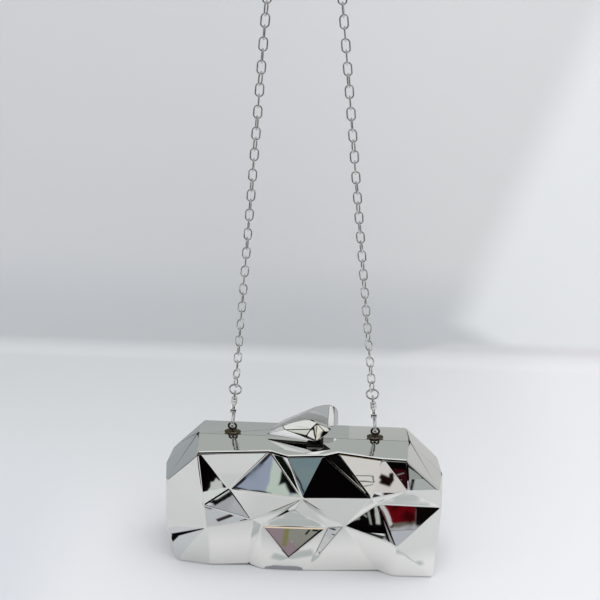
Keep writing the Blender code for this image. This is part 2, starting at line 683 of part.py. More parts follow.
JUMP_RING_HEIGHT = (HOOK_EYE_HEIGHT + HOOK_EYE_RADIUS - HOOK_EYE_WIRE - CLEARANCE
                    - JUMP_RING_WIRE + JUMP_RING_RADIUS)
LINK_STRETCH = (LINK_LENGTH - LINK_WIDTH) / 2
LINK_BEND_RADIUS = LINK_WIDTH / 2 - LINK_WIRE
LINK_INNER_END = LINK_STRETCH + ((LINK_BEND_RADIUS - LINK_WIRE * LINK_SWELL_SHARE)
                                 * math.cos(math.pi / LINK_TURNS))
LINK_PITCH = 2 * LINK_INNER_END + LINK_BITE
FIRST_LINK_RISE = JUMP_RING_RADIUS - JUMP_RING_WIRE - CLEARANCE + LINK_INNER_END


def jump_ring(word, frame):
    obj = ring(word + "_ring", JUMP_RING_RADIUS, JUMP_RING_WIRE, turns=24, sides=6)
    obj.location = (0, 0, JUMP_RING_HEIGHT)
    return place(obj, word + "_ring", STRAP_CHROME, frame)


def strap_places():
    """Middle and direction of each link: straight strands that meet in an arc over the bag."""
    foot_height = SEAM_HEIGHT + CLEARANCE + EYE_HEIGHT
    rise = JUMP_RING_HEIGHT + FIRST_LINK_RISE
    start = Vector((-EYELET_SPREAD + rise * math.sin(STRAP_LEAN), EYELET_SETBACK,
                    foot_height + rise * math.cos(STRAP_LEAN)))
    length = (LINK_COUNT - 1) * LINK_PITCH
    sine, cosine = math.sin(STRAP_LEAN), math.cos(STRAP_LEAN)
    arc_angle = math.pi - 2 * STRAP_LEAN
    arc_radius = (-2 * start.x / sine - length) / (2 * cosine / sine - arc_angle)
    straight = (length - arc_radius * arc_angle) / 2
    centre = Vector((0, start.y, start.z + straight * cosine - arc_radius * sine))
    places = []
    for i in range(LINK_COUNT):
        along = i * LINK_PITCH
        if along <= straight:
            way = Vector((sine, 0, cosine))
            middle = start + way * along
        elif along >= length - straight:
            way = Vector((sine, 0, -cosine))
            middle = Vector((-start.x, start.y, start.z)) - way * (length - along)
        else:
            turned = STRAP_LEAN + (along - straight) / arc_radius
            way = Vector((math.sin(turned), 0, math.cos(turned)))
            middle = centre + arc_radius * Vector((-math.cos(turned), 0, math.sin(turned)))
        places.append((middle, way))
    return places


def link_mesh():
    """One oval link, long in Z and flat in the XZ plane."""
    bpy.ops.mesh.primitive_torus_add(major_radius=LINK_BEND_RADIUS,
                                     minor_radius=LINK_WIRE * LINK_SWELL_SHARE,
                                     major_segments=LINK_TURNS, minor_segments=LINK_SIDES)
    obj = bpy.context.object
    flat_ended = Matrix.Rotation(math.pi / LINK_TURNS, 4, "Z")
    obj.data.transform(Matrix.Rotation(math.radians(90), 4, "X") @ flat_ended)
    for vert in obj.data.vertices:
        vert.co.z += math.copysign(LINK_STRETCH, vert.co.z)
    return obj


def links(name, first, places):
    """Every second link of the chain, from the first one given, as one mesh."""
    pattern = link_mesh()
    bm = bmesh.new()
    for middle, way in places[first::2]:
        turn = Vector((0, 0, 1)).rotation_difference(way).to_matrix().to_4x4()
        quarter = Matrix.Rotation(math.radians(90) * (1 - first), 4, "Z")
        count = len(bm.verts)
        bm.from_mesh(pattern.data)
        bm.verts.ensure_lookup_table()
        bmesh.ops.transform(bm, verts=bm.verts[count:],
                            matrix=Matrix.Translation(middle) @ turn @ quarter)
    bpy.data.objects.remove(pattern, do_unlink=True)
    return mesh_object(name, bm)


def chain():
    """All the links, which bear on each other and so make one body."""
    places = strap_places()
    obj = links("chain", 0, places)
    join(obj, links("chain_face_links", 1, places))
    return place(obj, "chain", STRAP_CHROME)


front_shell, back_shell = shell(-1), shell(1)
front_rim, back_rim = rim(-1), rim(1)
front_lining, back_lining = lining(-1), lining(1)
knuckles(-1)
knuckles(1)
hinge_pin()

for side, make, walls in ((-1, front_clasp, (front_shell, front_rim, front_lining)),
                          (1, back_clasp, (back_shell, back_rim, back_lining))):
    screw, screw_hole = clasp_screw(side)
    make(screw_hole)
    for wall in walls:
        cut(wall, screw_hole)

for word, way in (("left", -1), ("right", 1)):
    _, stem_hole = eyelet(word, way)
    eyelet_nut(word, way)
    for wall in (back_shell, back_rim):
        cut(wall, stem_hole)
    strand = strand_frame(word, way)
    hook(word, strand)
    gate(word, strand)
    gate_pin(word, strand)
    jump_ring(word, strand)

chain()

for part in bag.objects:
    if part.name.endswith(("hook", "gate", "pin", "ring", "chain", "eyelet")):
        part.data.shade_smooth()
        part.data.set_sharp_from_angle(angle=SHARP_ANGLE)
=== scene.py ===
"""Faceted chrome clutch bag on a chain strap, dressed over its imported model, in metres."""
import math

import bmesh
import bpy
from mathutils import Matrix, Vector


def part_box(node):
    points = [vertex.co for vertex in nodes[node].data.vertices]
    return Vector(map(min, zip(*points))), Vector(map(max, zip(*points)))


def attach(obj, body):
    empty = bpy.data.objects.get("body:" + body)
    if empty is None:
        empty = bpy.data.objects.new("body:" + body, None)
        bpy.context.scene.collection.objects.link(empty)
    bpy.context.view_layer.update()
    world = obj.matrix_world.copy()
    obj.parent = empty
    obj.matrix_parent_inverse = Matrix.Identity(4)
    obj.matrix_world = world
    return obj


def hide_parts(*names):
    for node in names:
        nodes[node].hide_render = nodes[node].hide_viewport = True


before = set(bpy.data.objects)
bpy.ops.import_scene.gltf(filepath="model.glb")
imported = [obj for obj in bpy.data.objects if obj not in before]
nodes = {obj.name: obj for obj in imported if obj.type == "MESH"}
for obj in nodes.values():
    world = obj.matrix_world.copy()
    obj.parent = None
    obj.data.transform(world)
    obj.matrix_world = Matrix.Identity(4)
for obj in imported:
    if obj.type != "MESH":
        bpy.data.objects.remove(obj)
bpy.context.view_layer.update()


# Camera: it stands in front of the bag, a little to its right, and looks down on it
# at the photograph's angle.

camera_data = bpy.data.cameras.new("view")
camera_data.sensor_width = 36.0
camera_data.lens = 62.9
camera_data.clip_start = 0.01
camera = bpy.data.objects.new("view", camera_data)
bpy.context.collection.objects.link(camera)
camera.location = (0.0314, -0.5616, 0.5692)
camera.rotation_euler = (math.radians(57.9), 0.0, math.radians(3.44))
bpy.context.scene.camera = camera
bpy.context.scene.view_settings.view_transform = "Standard"


# Table and wall: a pale table top that turns up into a pale grey wall behind the bag.
# The plating sees the table only close to the bag, and the room beyond it.

TABLE_REACH = 2.0
TABLE_DROP = 0.0003
WALL_FOOT_Y = 0.245
COVE_RADIUS = 0.014
COVE_STEPS = 12
WALL_HEIGHT = 1.1
TABLE_SEEN_FRONT_Y = -0.205
TABLE_SEEN_BACK_Y = 0.045
TABLE_SEEN_SIDE_X = 0.30


def split(tree, vector):
    """The parts of a place, a direction or a colour, as sockets X, Y and Z."""
    node = tree.nodes.new("ShaderNodeSeparateXYZ")
    tree.links.new(vector, node.inputs[0])
    return node.outputs


def math_node(tree, operation, *values, clamp=False):
    """A Math node fed by sockets or numbers; gives back its output."""
    node = tree.nodes.new("ShaderNodeMath")
    node.operation = operation
    node.use_clamp = clamp
    for socket, value in zip(node.inputs, values):
        if isinstance(value, bpy.types.NodeSocket):
            tree.links.new(value, socket)
        else:
            socket.default_value = value
    return node.outputs[0]


def mix_colours(tree, factor, first, second):
    """A Mix node for colours, fed by sockets, numbers or colours; gives back its output."""
    node = tree.nodes.new("ShaderNodeMix")
    node.data_type = "RGBA"
    for socket, value in ((node.inputs[0], factor), (node.inputs[6], first), (node.inputs[7], second)):
        if isinstance(value, bpy.types.NodeSocket):
            tree.links.new(value, socket)
        elif isinstance(value, tuple):
            socket.default_value = (*value, 1.0)
        else:
            socket.default_value = value
    return node.outputs[2]


def mix_shaders(tree, factor, first, second):
    """A Mix Shader node fed by three sockets; gives back its output."""
    node = tree.nodes.new("ShaderNodeMixShader")
    for socket, value in zip(node.inputs, (factor, first, second)):
        tree.links.new(value, socket)
    return node.outputs[0]


def ramp_between(tree, value, low, high):
    """0 up to low, 1 past high and smooth between them; low may be the larger of the two."""
    node = tree.nodes.new("ShaderNodeMapRange")
    node.interpolation_type = "SMOOTHSTEP"
    node.inputs["From Min"].default_value = low
    node.inputs["From Max"].default_value = high
    tree.links.new(value, node.inputs["Value"])
    return node.outputs["Result"]


def new_material(name):
    """A material with nodes; gives back the material, its tree and its shader."""
    material = bpy.data.materials.new(name)
    material.use_nodes = True
    return material, material.node_tree, material.node_tree.nodes["Principled BSDF"]


def node_group(name, kind, inputs, outputs):
    """A node group; gives back the group and the sockets that it starts from and ends in."""
    group = bpy.data.node_groups.new(name, kind)
    for side, sockets in (("INPUT", inputs), ("OUTPUT", outputs)):
        for socket, socket_kind in sockets.items():
            group.interface.new_socket(socket, in_out=side, socket_type="NodeSocket" + socket_kind)
    return group, group.nodes.new("NodeGroupInput").outputs, group.nodes.new("NodeGroupOutput").inputs


patch_tree, patch_in, patch_out = node_group(
    "tone_patch", "ShaderNodeTree",
    {"Under": "Color", "Patch": "Color", "Across": "Float", "Up": "Float", "At Across": "Float",
     "At Up": "Float", "Half Width": "Float", "Half Height": "Float", "Turn": "Float", "Soft Edge": "Float"},
    {"Colour": "Color"})
off = patch_tree.nodes.new("ShaderNodeCombineXYZ")
for way, axis in (("Across", "X"), ("Up", "Y")):
    distance = math_node(patch_tree, "SUBTRACT", patch_in[way], patch_in["At " + way])
    patch_tree.links.new(distance, off.inputs[axis])
turned_off = patch_tree.nodes.new("ShaderNodeVectorRotate")
turned_off.rotation_type = "Z_AXIS"
patch_tree.links.new(off.outputs[0], turned_off.inputs["Vector"])
radians = math_node(patch_tree, "RADIANS", patch_in["Turn"])
patch_tree.links.new(math_node(patch_tree, "MULTIPLY", radians, -1.0), turned_off.inputs["Angle"])
off_parts = split(patch_tree, turned_off.outputs[0])
inside = []
for axis, half in (("X", "Half Width"), ("Y", "Half Height")):
    aside = math_node(patch_tree, "ABSOLUTE", off_parts[axis])
    left = math_node(patch_tree, "SUBTRACT", patch_in[half], aside)
    edge = math_node(patch_tree, "DIVIDE", left, patch_in["Soft Edge"])
    inside.append(math_node(patch_tree, "ADD", edge, 0.5, clamp=True))
covered = math_node(patch_tree, "MULTIPLY", *inside)
patch_colour = mix_colours(patch_tree, covered, patch_in["Under"], patch_in["Patch"])
patch_tree.links.new(patch_colour, patch_out["Colour"])


def patched(tree, tone, across, up, patches):
    """Lays soft patches over a tone: place, half sizes, turn in degrees, soft edge, colour."""
    for at_across, at_up, half_width, half_height, turn, soft, colour in patches:
        patch = tree.nodes.new("ShaderNodeGroup")
        patch.node_tree = patch_tree
        tree.links.new(tone, patch.inputs["Under"])
        tree.links.new(across, patch.inputs["Across"])
        tree.links.new(up, patch.inputs["Up"])
        for name, value in (("At Across", at_across), ("At Up", at_up), ("Half Width", half_width),
                            ("Half Height", half_height), ("Turn", turn), ("Soft Edge", soft),
                            ("Patch", (*colour, 1.0))):
            patch.inputs[name].default_value = value
        tone = patch.outputs["Colour"]
    return tone


profile = [(-TABLE_REACH, 0.0), (WALL_FOOT_Y - COVE_RADIUS, 0.0)]
for step in range(1, COVE_STEPS + 1):
    turn = math.radians(90 * step / COVE_STEPS)
    profile.append((WALL_FOOT_Y - COVE_RADIUS + COVE_RADIUS * math.sin(turn),
                    COVE_RADIUS - COVE_RADIUS * math.cos(turn)))
profile.append((WALL_FOOT_Y, WALL_HEIGHT))
table_mesh = bmesh.new()
left_row = [table_mesh.verts.new((-TABLE_REACH, y, z - TABLE_DROP)) for y, z in profile]
right_row = [table_mesh.verts.new((TABLE_REACH, y, z - TABLE_DROP)) for y, z in profile]
for i in range(len(profile) - 1):
    table_mesh.faces.new((left_row[i], right_row[i], right_row[i + 1], left_row[i + 1])).smooth = True
table_data = bpy.data.meshes.new("table_and_wall")
table_mesh.to_mesh(table_data)
table_mesh.free()
table = bpy.data.objects.new("table_and_wall", table_data)
bpy.context.collection.objects.link(table)

pale_paint, tree, paint = new_material("pale_paint")
paint.inputs["Roughness"].default_value = 0.9
paint.inputs["Specular IOR Level"].default_value = 0.0
parts = split(tree, tree.nodes.new("ShaderNodeTexCoord").outputs["Object"])

# The table's top, with painted light and shade: paler towards its front and its right and dimmer on the left
forwards = ramp_between(tree, parts["Y"], 0.21, -0.06)
table_tone = mix_colours(tree, forwards, (0.650, 0.665, 0.670), (0.755, 0.765, 0.785))
right_half = math_node(tree, "MULTIPLY", ramp_between(tree, parts["X"], -0.02, 0.21), 0.45)
far_right = math_node(tree, "MULTIPLY", ramp_between(tree, parts["X"], 0.15, 0.24), 0.40)
painted_light_side = math_node(tree, "ADD", right_half, far_right)
table_tone = mix_colours(tree, painted_light_side, table_tone, (0.785, 0.780, 0.795))
painted_shade_side = math_node(tree, "MULTIPLY", ramp_between(tree, parts["X"], -0.14, -0.23), forwards)
painted_shade_side = math_node(tree, "MULTIPLY", painted_shade_side, 0.75)
table_tone = mix_colours(tree, painted_shade_side, table_tone, (0.635, 0.655, 0.69))

# The wall, with painted light and shade: darker low down, paler to the right, and a slanting band of light
# on its right whose foot runs out over the cove
beam_foot = math_node(tree, "MULTIPLY", ramp_between(tree, parts["Z"], 0.050, 0.010), 0.048)
beam_slant = math_node(tree, "MULTIPLY", parts["Z"], 0.30)
beam_edge = math_node(tree, "SUBTRACT", math_node(tree, "SUBTRACT", parts["X"], beam_slant), beam_foot)
beam = ramp_between(tree, beam_edge, 0.092, 0.138)
rightwards = ramp_between(tree, parts["X"], -0.10, 0.12)
wall_tone = mix_colours(tree, rightwards, (0.655, 0.665, 0.680), (0.690, 0.695, 0.700))
upwards = ramp_between(tree, parts["Z"], 0.045, 0.115)
wall_tone = mix_colours(tree, upwards, (0.605, 0.622, 0.640), wall_tone)
wall_tone = mix_colours(tree, beam, wall_tone, (0.820, 0.835, 0.840))
wall_foot = math_node(tree, "MULTIPLY", ramp_between(tree, parts["X"], 0.06, 0.13), 0.016)
above_foot = ramp_between(tree, math_node(tree, "SUBTRACT", parts["Z"], wall_foot), 0.0, 0.009)
paint_tone = mix_colours(tree, above_foot, table_tone, wall_tone)

# What the plating sees on the table, in millimetres: painted reflections of paler and darker places
# under and round the camera, a painted paler band along the bag's front, and a painted shadow under the bag
TABLE_PATCHES = (
    (-5.0, -115.0, 68.0, 58.0, 0, 24.0, (0.555, 0.562, 0.552)),
    (0.0, -26.0, 118.0, 26.0, 0, 20.0, (0.79, 0.79, 0.78)),
    (-2.0, 0.0, 88.0, 22.0, 0, 2.0, (0.020, 0.012, 0.012)),
    (-104.0, -37.0, 14.0, 19.0, 0, 3.0, (0.57, 0.59, 0.60)),
    (-79.0, -34.0, 11.5, 18.0, 0, 3.0, (0.66, 0.68, 0.67)),
    (-98.7, -45.0, 13.1, 2.2, -41.4, 0.8, (0.003, 0.003, 0.003)),
    (-95.9, -43.2, 13.5, 3.0, -48.4, 0.8, (0.57, 0.59, 0.60)),
    (-106.2, -34.3, 4.6, 2.1, -85, 1.0, (0.004, 0.004, 0.004)),
    (-7.0, -41.5, 20.0, 3.5, 0, 3.0, (0.49, 0.52, 0.505)),
    (-7.0, -47.0, 9.0, 3.0, 0, 3.0, (0.49, 0.52, 0.505)),
    (-10.0, -94.0, 18.0, 14.0, 0, 2.0, (0.245, 0.245, 0.215)),
    (-2.4, -80.5, 31.0, 6.3, -65.1, 1.0, (0.245, 0.245, 0.215)),
    (-17.6, -79.6, 30.0, 6.3, 64.3, 1.0, (0.265, 0.21, 0.23)),
    (-26.0, -97.0, 9.0, 9.0, 0, 4.0, (0.265, 0.21, 0.23)),
    (-15.5, -86.0, 1.9, 15.0, 0, 1.5, (0.205, 0.195, 0.080)),
    (1.0, -96.5, 0.9, 4.5, 18, 0.5, (0.02, 0.02, 0.02)),
    (7.0, -100.0, 2.4, 1.7, 0, 0.8, (0.02, 0.02, 0.02)),
    (-22.3, -77.3, 30.0, 0.8, 64.3, 0.6, (0.012, 0.012, 0.012)),
    (1.3, -78.8, 30.9, 1.3, -65.1, 0.6, (0.012, 0.012, 0.012)),
    (-10.0, -103.0, 25.0, 1.5, -2.2, 0.8, (0.85, 0.68, 0.50)),
    (-56.0, -95.0, 22.0, 16.0, 0, 4.0, (0.49, 0.50, 0.51)),
    (-57.0, -93.0, 7.0, 2.0, -31, 1.5, (0.035, 0.028, 0.030)),
    (-41.0, -90.0, 4.5, 1.1, -28, 0.8, (0.06, 0.06, 0.06)),
    (-96.0, -120.0, 12.0, 5.0, 20, 2.0, (0.45, 0.45, 0.44)),
    (-94.0, -130.5, 36.0, 8.0, 33, 2.0, (0.003, 0.005, 0.003)),
    (-60.0, -190.0, 36.0, 22.0, 0, 8.0, (0.61, 0.61, 0.60)),
    (-19.0, -196.0, 14.0, 9.0, -40, 2.0, (0.60, 0.63, 0.61)),
    (54.4, -194.8, 26.0, 8.2, 38, 1.0, (0.030, 0.034, 0.028)),
    (66.0, -184.0, 2.2, 9.0, 12, 1.5, (0.42, 0.44, 0.42)),
    (80.0, -47.0, 19.0, 3.0, 6, 3.0, (0.50, 0.525, 0.51)),
    (82.0, -52.5, 10.0, 3.5, 0, 3.0, (0.50, 0.525, 0.51)),
    (108.0, -176.0, 24.0, 30.0, 0, 3.0, (0.40, 0.41, 0.44)),
    (74.0, -197.0, 8.0, 13.0, 0, 3.0, (0.020, 0.003, 0.004)),
    (137.0, -197.0, 11.0, 11.0, -30, 3.0, (0.003, 0.002, 0.002)),
    (160.0, -190.0, 14.5, 25.0, 0, 2.0, (0.36, 0.385, 0.37)),
    (150.6, -190.8, 17.0, 1.6, -57.4, 1.0, (0.004, 0.003, 0.003)),
    (148.3, -176.3, 7.5, 0.7, 19.8, 0.6, (0.010, 0.008, 0.008)),
    (-13.0, -25.0, 14.0, 2.2, 0, 1.0, (0.33, 0.335, 0.365)),
)
across = math_node(tree, "MULTIPLY", parts["X"], 1000.0)
back = math_node(tree, "MULTIPLY", parts["Y"], 1000.0)
pale_seen = tree.nodes.new("ShaderNodeRGB").outputs[0]
pale_seen.default_value = (0.635, 0.64, 0.633, 1.0)
seen_tone = patched(tree, pale_seen, across, back, TABLE_PATCHES)
tree.links.new(paint_tone, paint.inputs["Base Color"])
seen_paint = tree.nodes.new("ShaderNodeBsdfPrincipled")
seen_paint.inputs["Roughness"].default_value = 0.9
seen_paint.inputs["Specular IOR Level"].default_value = 0.0
tree.links.new(seen_tone, seen_paint.inputs["Base Color"])
far = math_node(tree, "LESS_THAN", parts["Y"], TABLE_SEEN_FRONT_Y)
behind = math_node(tree, "GREATER_THAN", parts["Y"], TABLE_SEEN_BACK_Y)
aside = math_node(tree, "GREATER_THAN", math_node(tree, "ABSOLUTE", parts["X"]), TABLE_SEEN_SIDE_X)
outside = math_node(tree, "MAXIMUM", math_node(tree, "MAXIMUM", far, behind), aside)
nothing = tree.nodes.new("ShaderNodeBsdfTransparent").outputs[0]
seen = mix_shaders(tree, outside, seen_paint.outputs[0], nothing)
mirrored = tree.nodes.new("ShaderNodeLightPath").outputs["Is Glossy Ray"]
cover = mix_shaders(tree, mirrored, paint.outputs[0], seen)

# The wall is clear from behind, so that the bag can be looked at from there too
from_behind = tree.nodes.new("ShaderNodeNewGeometry").outputs["Backfacing"]
nothing = tree.nodes.new("ShaderNodeBsdfTransparent").outputs[0]
open_back = mix_shaders(tree, from_behind, cover, nothing)
tree.links.new(open_back, tree.nodes["Material Output"].inputs["Surface"])
table_data.materials.append(pale_paint)


# Light: an even white dome and one large lamp overhead. Only the plating shows the room round
# the table, painted into the dome as reflections: pale below, dim across the front, grey
# behind, bright above.

RIPPLE_ACROSS = 0.35
RIPPLE_UP = 0.30

room = bpy.data.worlds.new("studio_room")
room.use_nodes = True
bpy.context.scene.world = room
tree = room.node_tree
tree.nodes.clear()

towards = tree.nodes.new("ShaderNodeTexCoord").outputs["Generated"]
parts = split(tree, towards)
ahead = math_node(tree, "MULTIPLY", parts["Y"], -1.0)
bearing = math_node(tree, "DEGREES", math_node(tree, "ARCTAN2", parts["X"], ahead))
height = math_node(tree, "DEGREES", math_node(tree, "ARCSINE", parts["Z"]))

# A ripple of a fraction of a degree, so that no edge in the room is a ruled line
ripple = tree.nodes.new("ShaderNodeTexNoise")
ripple.inputs["Scale"].default_value = 55.0
ripple.inputs["Detail"].default_value = 2.0
tree.links.new(towards, ripple.inputs["Vector"])
ripple_parts = split(tree, ripple.outputs["Color"])
ripple_across = math_node(tree, "SUBTRACT", ripple_parts["X"], 0.5)
ripple_up = math_node(tree, "SUBTRACT", ripple_parts["Y"], 0.5)
bearing = math_node(tree, "MULTIPLY_ADD", ripple_across, RIPPLE_ACROSS, bearing)
height = math_node(tree, "MULTIPLY_ADD", ripple_up, RIPPLE_UP, height)

PALE_TABLE = (0.68, 0.685, 0.68)
DIM_FRONT = (0.0015, 0.0010, 0.0010)
BACK_WALL = (0.42, 0.445, 0.425)
HIGH_FRONT = (0.77, 0.78, 0.76)
CEILING = (0.98, 0.98, 0.98)

front_tone = mix_colours(tree, ramp_between(tree, height, -36.0, -31.0), PALE_TABLE, DIM_FRONT)
front_tone = mix_colours(tree, ramp_between(tree, height, 62.0, 68.0), front_tone, HIGH_FRONT)
rightwards = ramp_between(tree, bearing, -30.0, 130.0)
side_tone = mix_colours(tree, rightwards, (0.35, 0.375, 0.39), (0.575, 0.57, 0.56))
back_tone = mix_colours(tree, ramp_between(tree, height, 12.0, 34.0), side_tone, BACK_WALL)
back_tone = mix_colours(tree, ramp_between(tree, height, -34.0, -44.0), back_tone, PALE_TABLE)
in_front = math_node(tree, "MULTIPLY", ramp_between(tree, bearing, -48.0, -38.0),
                     ramp_between(tree, bearing, 52.0, 42.0))
room_tone = mix_colours(tree, in_front, back_tone, front_tone)
room_tone = mix_colours(tree, ramp_between(tree, height, 64.0, 72.0), room_tone, CEILING)

# Bearing and height of each painted reflection in the room, in degrees, its half sizes, its
# turn, its soft edge and its colour
ROOM_PATCHES = (
    (-23.0, -6.0, 7.0, 26.0, 0, 2.0, (0.060, 0.008, 0.010)),
    (-13.0, 3.0, 2.5, 9.0, 0, 1.5, (0.21, 0.12, 0.045)),
    (-5.5, -20.4, 9.0, 1.7, -12, 0.3, (0.68, 0.66, 0.64)),
    (-13.6, -14.2, 2.6, 1.5, 0, 0.12, (0.30, 0.345, 0.44)),
    (-12.0, -14.0, 0.80, 1.25, 0, 0.10, (0.003, 0.005, 0.003)),
    (-14.31, -14.19, 1.45, 0.08, 45, 0.04, (0.015, 0.016, 0.018)),
    (-13.45, -15.28, 2.05, 0.06, -4.2, 0.04, (0.015, 0.016, 0.018)),
    (-13.0, -14.0, 0.30, 1.3, -8, 0.14, (0.50, 0.58, 0.51)),
    (-12.75, -15.2, 0.45, 0.35, 20, 0.12, (0.50, 0.58, 0.51)),
    (-11.9, -15.45, 0.6, 0.16, 10, 0.10, (0.50, 0.56, 0.50)),
    (-13.2, -18.1, 2.0, 2.1, 0, 0.15, (0.69, 0.67, 0.64)),
    (-12.86, -18.22, 0.74, 0.24, 4, 0.03, (0.015, 0.012, 0.012)),
    (-12.86, -18.22, 0.68, 0.18, 4, 0.03, (0.69, 0.67, 0.64)),
    (-12.56, -18.76, 0.46, 0.030, 23, 0.03, (0.015, 0.012, 0.012)),
    (-13.72, -17.95, 0.22, 0.028, -30, 0.03, (0.03, 0.03, 0.03)),
    (0.8, -12.95, 0.45, 0.07, 20, 0.05, (0.35, 0.36, 0.34)),
    (1.3, -12.45, 0.40, 0.06, -35, 0.06, (0.22, 0.23, 0.21)),
    (1.75, -12.6, 0.07, 0.45, 15, 0.06, (0.28, 0.29, 0.27)),
    (2.2, -12.4, 0.12, 0.5, 8, 0.08, (0.48, 0.49, 0.47)),
    (5.75, -16.4, 1.15, 1.95, 0, 0.12, (0.165, 0.235, 0.255)),
    (5.75, -16.6, 0.75, 0.55, 0, 0.5, (0.185, 0.25, 0.265)),
    (5.13, -17.15, 1.25, 0.055, 111.4, 0.05, (0.006, 0.006, 0.008)),
    (6.22, -17.15, 1.32, 0.055, 62.4, 0.05, (0.006, 0.006, 0.008)),
    (18.1, -20.25, 1.4, 1.0, -37, 0.15, (0.60, 0.63, 0.61)),
    (7.55, -9.3, 1.45, 1.15, 0, 0.12, (0.37, 0.39, 0.405)),
    (8.2, -9.7, 0.6, 0.4, -20, 0.3, (0.45, 0.46, 0.49)),
    (6.98, -8.90, 0.80, 0.26, 30, 0.08, (0.60, 0.63, 0.61)),
    (6.66, -9.20, 0.30, 0.10, -14, 0.06, (0.003, 0.003, 0.003)),
    (7.24, -9.08, 0.55, 0.12, 33, 0.06, (0.003, 0.003, 0.003)),
    (7.1, -14.9, 0.6, 0.35, 0, 0.12, (0.62, 0.60, 0.52)),
    (13.4, -12.0, 1.9, 1.4, 0, 0.12, (0.40, 0.40, 0.42)),
    (13.15, -13.02, 0.75, 0.16, 5, 0.14, (0.13, 0.12, 0.10)),
    (12.83, -12.38, 0.96, 0.62, 0, 0.10, (0.118, 0.002, 0.005)),
    (12.65, -12.25, 0.22, 0.16, 20, 0.25, (0.045, 0.002, 0.003)),
    (13.40, -12.75, 0.35, 0.25, -30, 0.25, (0.035, 0.002, 0.003)),
    (12.36, -12.95, 0.14, 0.30, 25, 0.14, (0.040, 0.002, 0.003)),
    (12.10, -12.45, 0.75, 0.12, -62, 0.08, (0.55, 0.54, 0.55)),
    (14.55, -12.35, 0.80, 0.76, 8, 0.14, (0.003, 0.002, 0.002)),
    (14.05, -12.12, 0.22, 0.09, 0, 0.10, (0.42, 0.42, 0.43)),
    (1.25, -10.15, 1.10, 0.10, 111, 0.08, (0.42, 0.44, 0.42)),
    (13.72, -21.10, 0.40, 0.40, 0, 0.08, (0.54, 0.57, 0.54)),
    (13.72, -21.10, 0.40, 0.40, 45, 0.08, (0.54, 0.57, 0.54)),
    (27.8, 8.6, 2.2, 2.0, 0, 0.3, (0.68, 0.66, 0.57)),
    (34.4, -9.0, 1.7, 5.5, 0, 0.6, (0.30, 0.30, 0.29)),
    (-54.7, 3.6, 4.0, 3.0, 0, 1.0, (0.60, 0.61, 0.60)),
    (3.7, -21.9, 1.6, 1.3, 0, 0.15, (0.66, 0.63, 0.61)),
    (3.36, -22.12, 0.42, 0.27, -22, 0.12, (0.008, 0.003, 0.002)),
    (3.62, -21.86, 0.16, 0.22, 10, 0.10, (0.008, 0.003, 0.002)),
    (3.06, -21.88, 0.20, 0.14, -30, 0.10, (0.008, 0.003, 0.002)),
    (-0.8, -25.2, 1.6, 0.8, 0, 0.2, (0.030, 0.004, 0.006)),
    (-0.5, -24.9, 0.35, 0.05, 30, 0.06, (0.22, 0.21, 0.21)),
    (24.3, -23.3, 0.8, 0.9, -20, 0.15, (0.32, 0.345, 0.325)),
    (-29.0, -23.0, 2.0, 2.0, 0, 0.3, (0.68, 0.68, 0.68)),
    (-2.5, 4.5, 8.0, 6.5, 0, 3.0, (0.43, 0.445, 0.45)),
    (22.8, 2.6, 3.0, 1.5, 0, 0.8, (0.80, 0.82, 0.81)),
    (-24.9, 44.2, 2.6, 1.9, 0, 0.5, (0.79, 0.81, 0.77)),
    (-25.1, 43.9, 0.30, 0.12, 25, 0.2, (0.56, 0.59, 0.56)),
    (-24.4, 43.7, 0.45, 0.10, 10, 0.2, (0.62, 0.65, 0.60)),
    (11.2, 12.6, 1.4, 1.4, 0, 0.4, (0.80, 0.78, 0.74)),
    (14.6, 13.6, 1.3, 1.4, 0, 0.4, (0.58, 0.57, 0.52)),
    (29.4, 10.1, 1.2, 1.3, 0, 0.4, (0.78, 0.76, 0.66)),
    (37.4, 14.6, 2.2, 2.0, 0, 0.4, (0.72, 0.72, 0.70)),
    (-19.4, 29.9, 2.4, 1.8, 0, 0.4, (0.63, 0.67, 0.60)),
    (31.7, 13.0, 1.4, 2.0, 0, 0.3, (0.003, 0.003, 0.003)),
    (32.0, 12.9, 0.10, 1.0, 20, 0.06, (0.30, 0.30, 0.28)),
)
room_tone = patched(tree, room_tone, bearing, height, ROOM_PATCHES)

# Overhead the bearing has no meaning, so this painted reflection is placed across and back from the zenith.
# What points down is moved a whole radian aside, where the patch can't reach it.
OVERHEAD_PATCHES = (
    (0.0, 6.5, 22.0, 5.0, 0, 1.0, (0.34, 0.35, 0.325)),
)
below = math_node(tree, "LESS_THAN", parts["Z"], 0.0)
overhead_across = math_node(tree, "DEGREES", math_node(tree, "ADD", parts["X"], below))
overhead_back = math_node(tree, "DEGREES", parts["Y"])
room_tone = patched(tree, room_tone, overhead_across, overhead_back, OVERHEAD_PATCHES)

rays = tree.nodes.new("ShaderNodeLightPath")
dome = tree.nodes.new("ShaderNodeBackground")
tree.links.new(mix_colours(tree, rays.outputs["Is Camera Ray"], (0.93, 0.935, 0.945), (0.90, 0.91, 0.93)),
               dome.inputs["Color"])
mirrored_room = tree.nodes.new("ShaderNodeBackground")
tree.links.new(room_tone, mirrored_room.inputs["Color"])
around = mix_shaders(tree, rays.outputs["Is Glossy Ray"], dome.outputs[0], mirrored_room.outputs[0])
tree.links.new(around, tree.nodes.new("ShaderNodeOutputWorld").inputs["Surface"])

lamp_data = bpy.data.lights.new("overhead", "AREA")
lamp_data.shape = "RECTANGLE"
lamp_data.size = 0.9
lamp_data.size_y = 0.7
lamp_data.energy = 5.0
lamp = bpy.data.objects.new("overhead", lamp_data)
bpy.context.collection.objects.link(lamp)
lamp.visible_glossy = False
lamp.location = (0.25, -0.10, 1.25)
lamp.rotation_euler = (math.radians(-5), math.radians(11), 0.0)


# Shells: two moulded half shells, cut with facets like a gem, plated and polished to a
# mirror. Their creases are rolled over a radius of under a millimetre, their outer edges
# over twice that.

